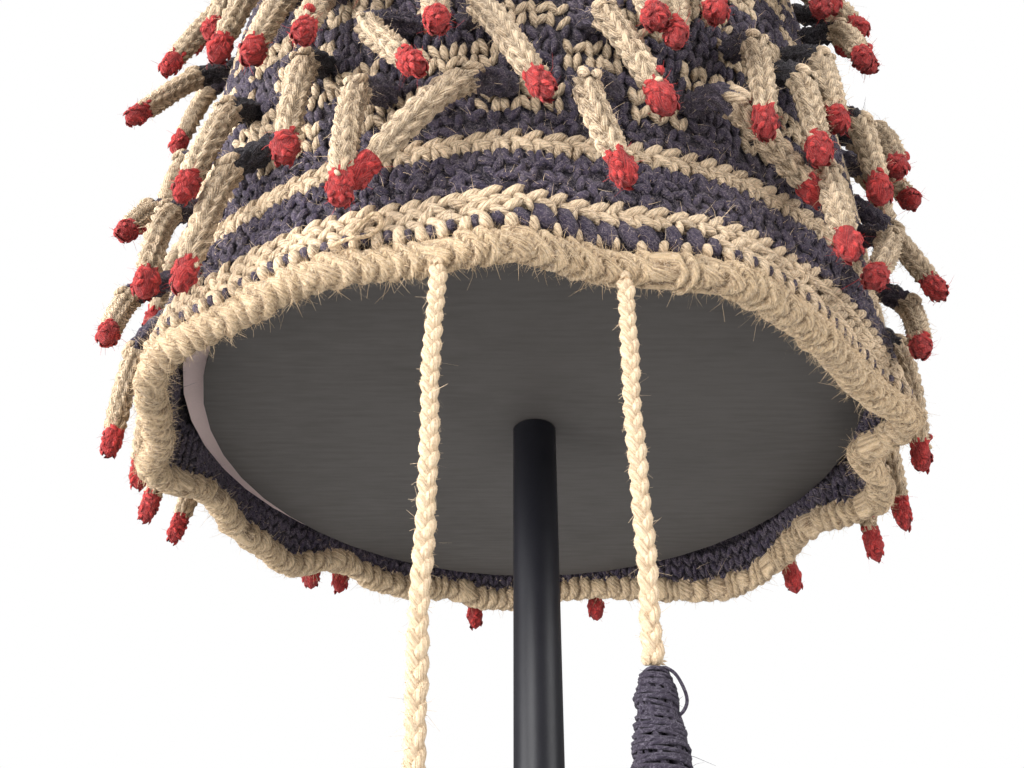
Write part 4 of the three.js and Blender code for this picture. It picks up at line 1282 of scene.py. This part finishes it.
def build_stage():
    """A plain pale floor and soft studio light."""
    c = colours()
    mesh = bpy.data.meshes.new("studio_floor")
    half = 2.5
    corners = [(-half, -half, 0), (half, -half, 0), (half, half, 0), (-half, half, 0)]
    mesh.from_pydata(corners, [], [(0, 1, 2, 3)])
    floor = bpy.data.objects.new("studio_floor", mesh)
    bpy.context.scene.collection.objects.link(floor)
    floor.location.z = -0.0002
    paper = worn("studio_floor_paper", c.floor, c.floor, 0.9, 3.0, 300.0, bump=0.02, specular=0.1)
    mesh.materials.append(paper)
    floor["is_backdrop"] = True
    world = bpy.data.worlds.new("studio")
    world.use_nodes = True
    bpy.context.scene.world = world
    tree = world.node_tree
    tree.nodes.clear()
    out = tree.nodes.new("ShaderNodeOutputWorld")
    seen = add_node(tree, "Background", None, Color=(1, 1, 1, 1), Strength=1.0)
    soft = add_node(tree, "Background", None, Color=(1, 0.985, 0.96, 1))
    # The soft light comes from the front and from above
    where = add_node(tree, "TexCoord")
    parts = add_node(tree, "SeparateXYZ")
    tree.links.new(where.outputs["Generated"], parts.inputs[0])
    strength = math_node(tree, "ADD", math_node(tree, "MULTIPLY", parts.outputs[1], -0.2), 0.29)
    strength = math_node(tree, "ADD", strength, math_node(tree, "MULTIPLY", parts.outputs[2], 0.22))
    tree.links.new(math_node(tree, "MAXIMUM", strength, 0.04), soft.inputs["Strength"])
    rays = add_node(tree, "LightPath")
    mix = add_node(tree, "MixShader")
    tree.links.new(rays.outputs["Is Camera Ray"], mix.inputs[0])
    tree.links.new(soft.outputs[0], mix.inputs[1])
    tree.links.new(seen.outputs[0], mix.inputs[2])
    tree.links.new(mix.outputs[0], out.inputs[0])
    area_light("key_softbox", 13.5, 0.6, (-0.6, -0.95, 0.65), (0, -0.05, 0.33))
    area_light("right_softbox", 8.5, 0.7, (1.0, -0.6, 0.5), (0, -0.05, 0.33))
    area_light("left_softbox", 18.0, 0.6, (-1.0, -0.35, 0.22), (0, -0.05, 0.33))
    area_light("top_softbox", 6.0, 1.0, (0.1, 0.1, 1.5), (0, 0, 0.4))
    area_light("back_softbox", 0.4, 1.0, (0.2, 1.1, 0.8), (0, 0, 0.35))
    bpy.context.scene.view_settings.view_transform = "Standard"
    bpy.context.scene.view_settings.look = "None"


class HAT_OT_camera(Operator):
    """Add the camera at the photograph's viewing angle"""

    bl_idname = "hat.camera"
    bl_label = "Camera"

    def execute(self, context):
        build_camera()
        return {"FINISHED"}


class HAT_OT_tassels(Operator):
    """Add the two wound tassels"""

    bl_idname = "hat.tassels"
    bl_label = "Tassels"

    def execute(self, context):
        build_tassels()
        return {"FINISHED"}


class HAT_OT_cords(Operator):
    """Add the two plaited chin cords"""

    bl_idname = "hat.cords"
    bl_label = "Chin cords"

    def execute(self, context):
        build_cords()
        return {"FINISHED"}


class HAT_OT_roll(Operator):
    """Add the wound rolled edge"""

    bl_idname = "hat.roll"
    bl_label = "Rolled edge"

    def execute(self, context):
        build_roll()
        return {"FINISHED"}


class HAT_OT_band(Operator):
    """Add the patterned band's stitches"""

    bl_idname = "hat.band"
    bl_label = "Band"

    def execute(self, context):
        build_band()
        return {"FINISHED"}


class HAT_OT_wall(Operator):
    """Add the stitches of the wall behind the burls"""

    bl_idname = "hat.wall"
    bl_label = "Wall"

    def execute(self, context):
        build_wall()
        return {"FINISHED"}


class HAT_OT_dome(Operator):
    """Add the stitches of the domed top"""

    bl_idname = "hat.dome"
    bl_label = "Dome"

    def execute(self, context):
        build_dome()
        return {"FINISHED"}


class HAT_OT_burls(Operator):
    """Add the hanging burls"""

    bl_idname = "hat.burls"
    bl_label = "Burls"

    def execute(self, context):
        build_burls()
        return {"FINISHED"}


class HAT_OT_fibres(Operator):
    """Add the loose fibres on the yarn pieces"""

    bl_idname = "hat.fibres"
    bl_label = "Fibres"

    def execute(self, context):
        build_fibres()
        return {"FINISHED"}


class HAT_OT_stand(Operator):
    """Give the stand's solids their materials"""

    bl_idname = "hat.stand"
    bl_label = "Stand"

    def execute(self, context):
        build_stand()
        return {"FINISHED"}


class HAT_OT_stage(Operator):
    """Add the pale floor and the soft studio light"""

    bl_idname = "hat.stage"
    bl_label = "Stage"

    def execute(self, context):
        build_stage()
        return {"FINISHED"}


OPERATORS = (
    HAT_OT_camera, HAT_OT_tassels, HAT_OT_cords, HAT_OT_roll, HAT_OT_band, HAT_OT_wall, HAT_OT_dome,
    HAT_OT_burls, HAT_OT_fibres, HAT_OT_stand, HAT_OT_stage,
)


class HAT_PT_panel(Panel):
    """The hat's pieces, sizes and colours"""

    bl_idname = "HAT_PT_panel"
    bl_label = "Prestige Hat"
    bl_space_type = "VIEW_3D"
    bl_region_type = "UI"
    bl_category = "Hat"

    def draw(self, context):
        for operator in OPERATORS:
            self.layout.operator(operator.bl_idname)
        for group in (context.scene.hat_sizes, context.scene.hat_colours):
            box = self.layout.box()
            for key in group.__annotations__:
                box.prop(group, key)


CLASSES = (HatSizes, HatColours, *OPERATORS, HAT_PT_panel)


def register():
    for cls in CLASSES:
        bpy.utils.register_class(cls)
    bpy.types.Scene.hat_sizes = PointerProperty(type=HatSizes)
    bpy.types.Scene.hat_colours = PointerProperty(type=HatColours)


def unregister():
    del bpy.types.Scene.hat_colours
    del bpy.types.Scene.hat_sizes
    for cls in reversed(CLASSES):
        bpy.utils.unregister_class(cls)


def plain(bounds):
    """A box as plain lists of numbers."""
    return [[float(x) for x in corner] for corner in bounds]


def main():
    register()
    cad_box = plain(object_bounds())
    bpy.ops.hat.camera()
    bpy.ops.hat.tassels()
    bpy.ops.hat.cords()
    bpy.ops.hat.roll()
    bpy.ops.hat.band()
    bpy.ops.hat.wall()
    bpy.ops.hat.dome()
    bpy.ops.hat.burls()
    bpy.ops.hat.fibres()
    bpy.ops.hat.stand()
    bpy.ops.hat.stage()
    {"cad": cad_box, "visual": plain(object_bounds())}


if __name__ == "__main__":
    main()
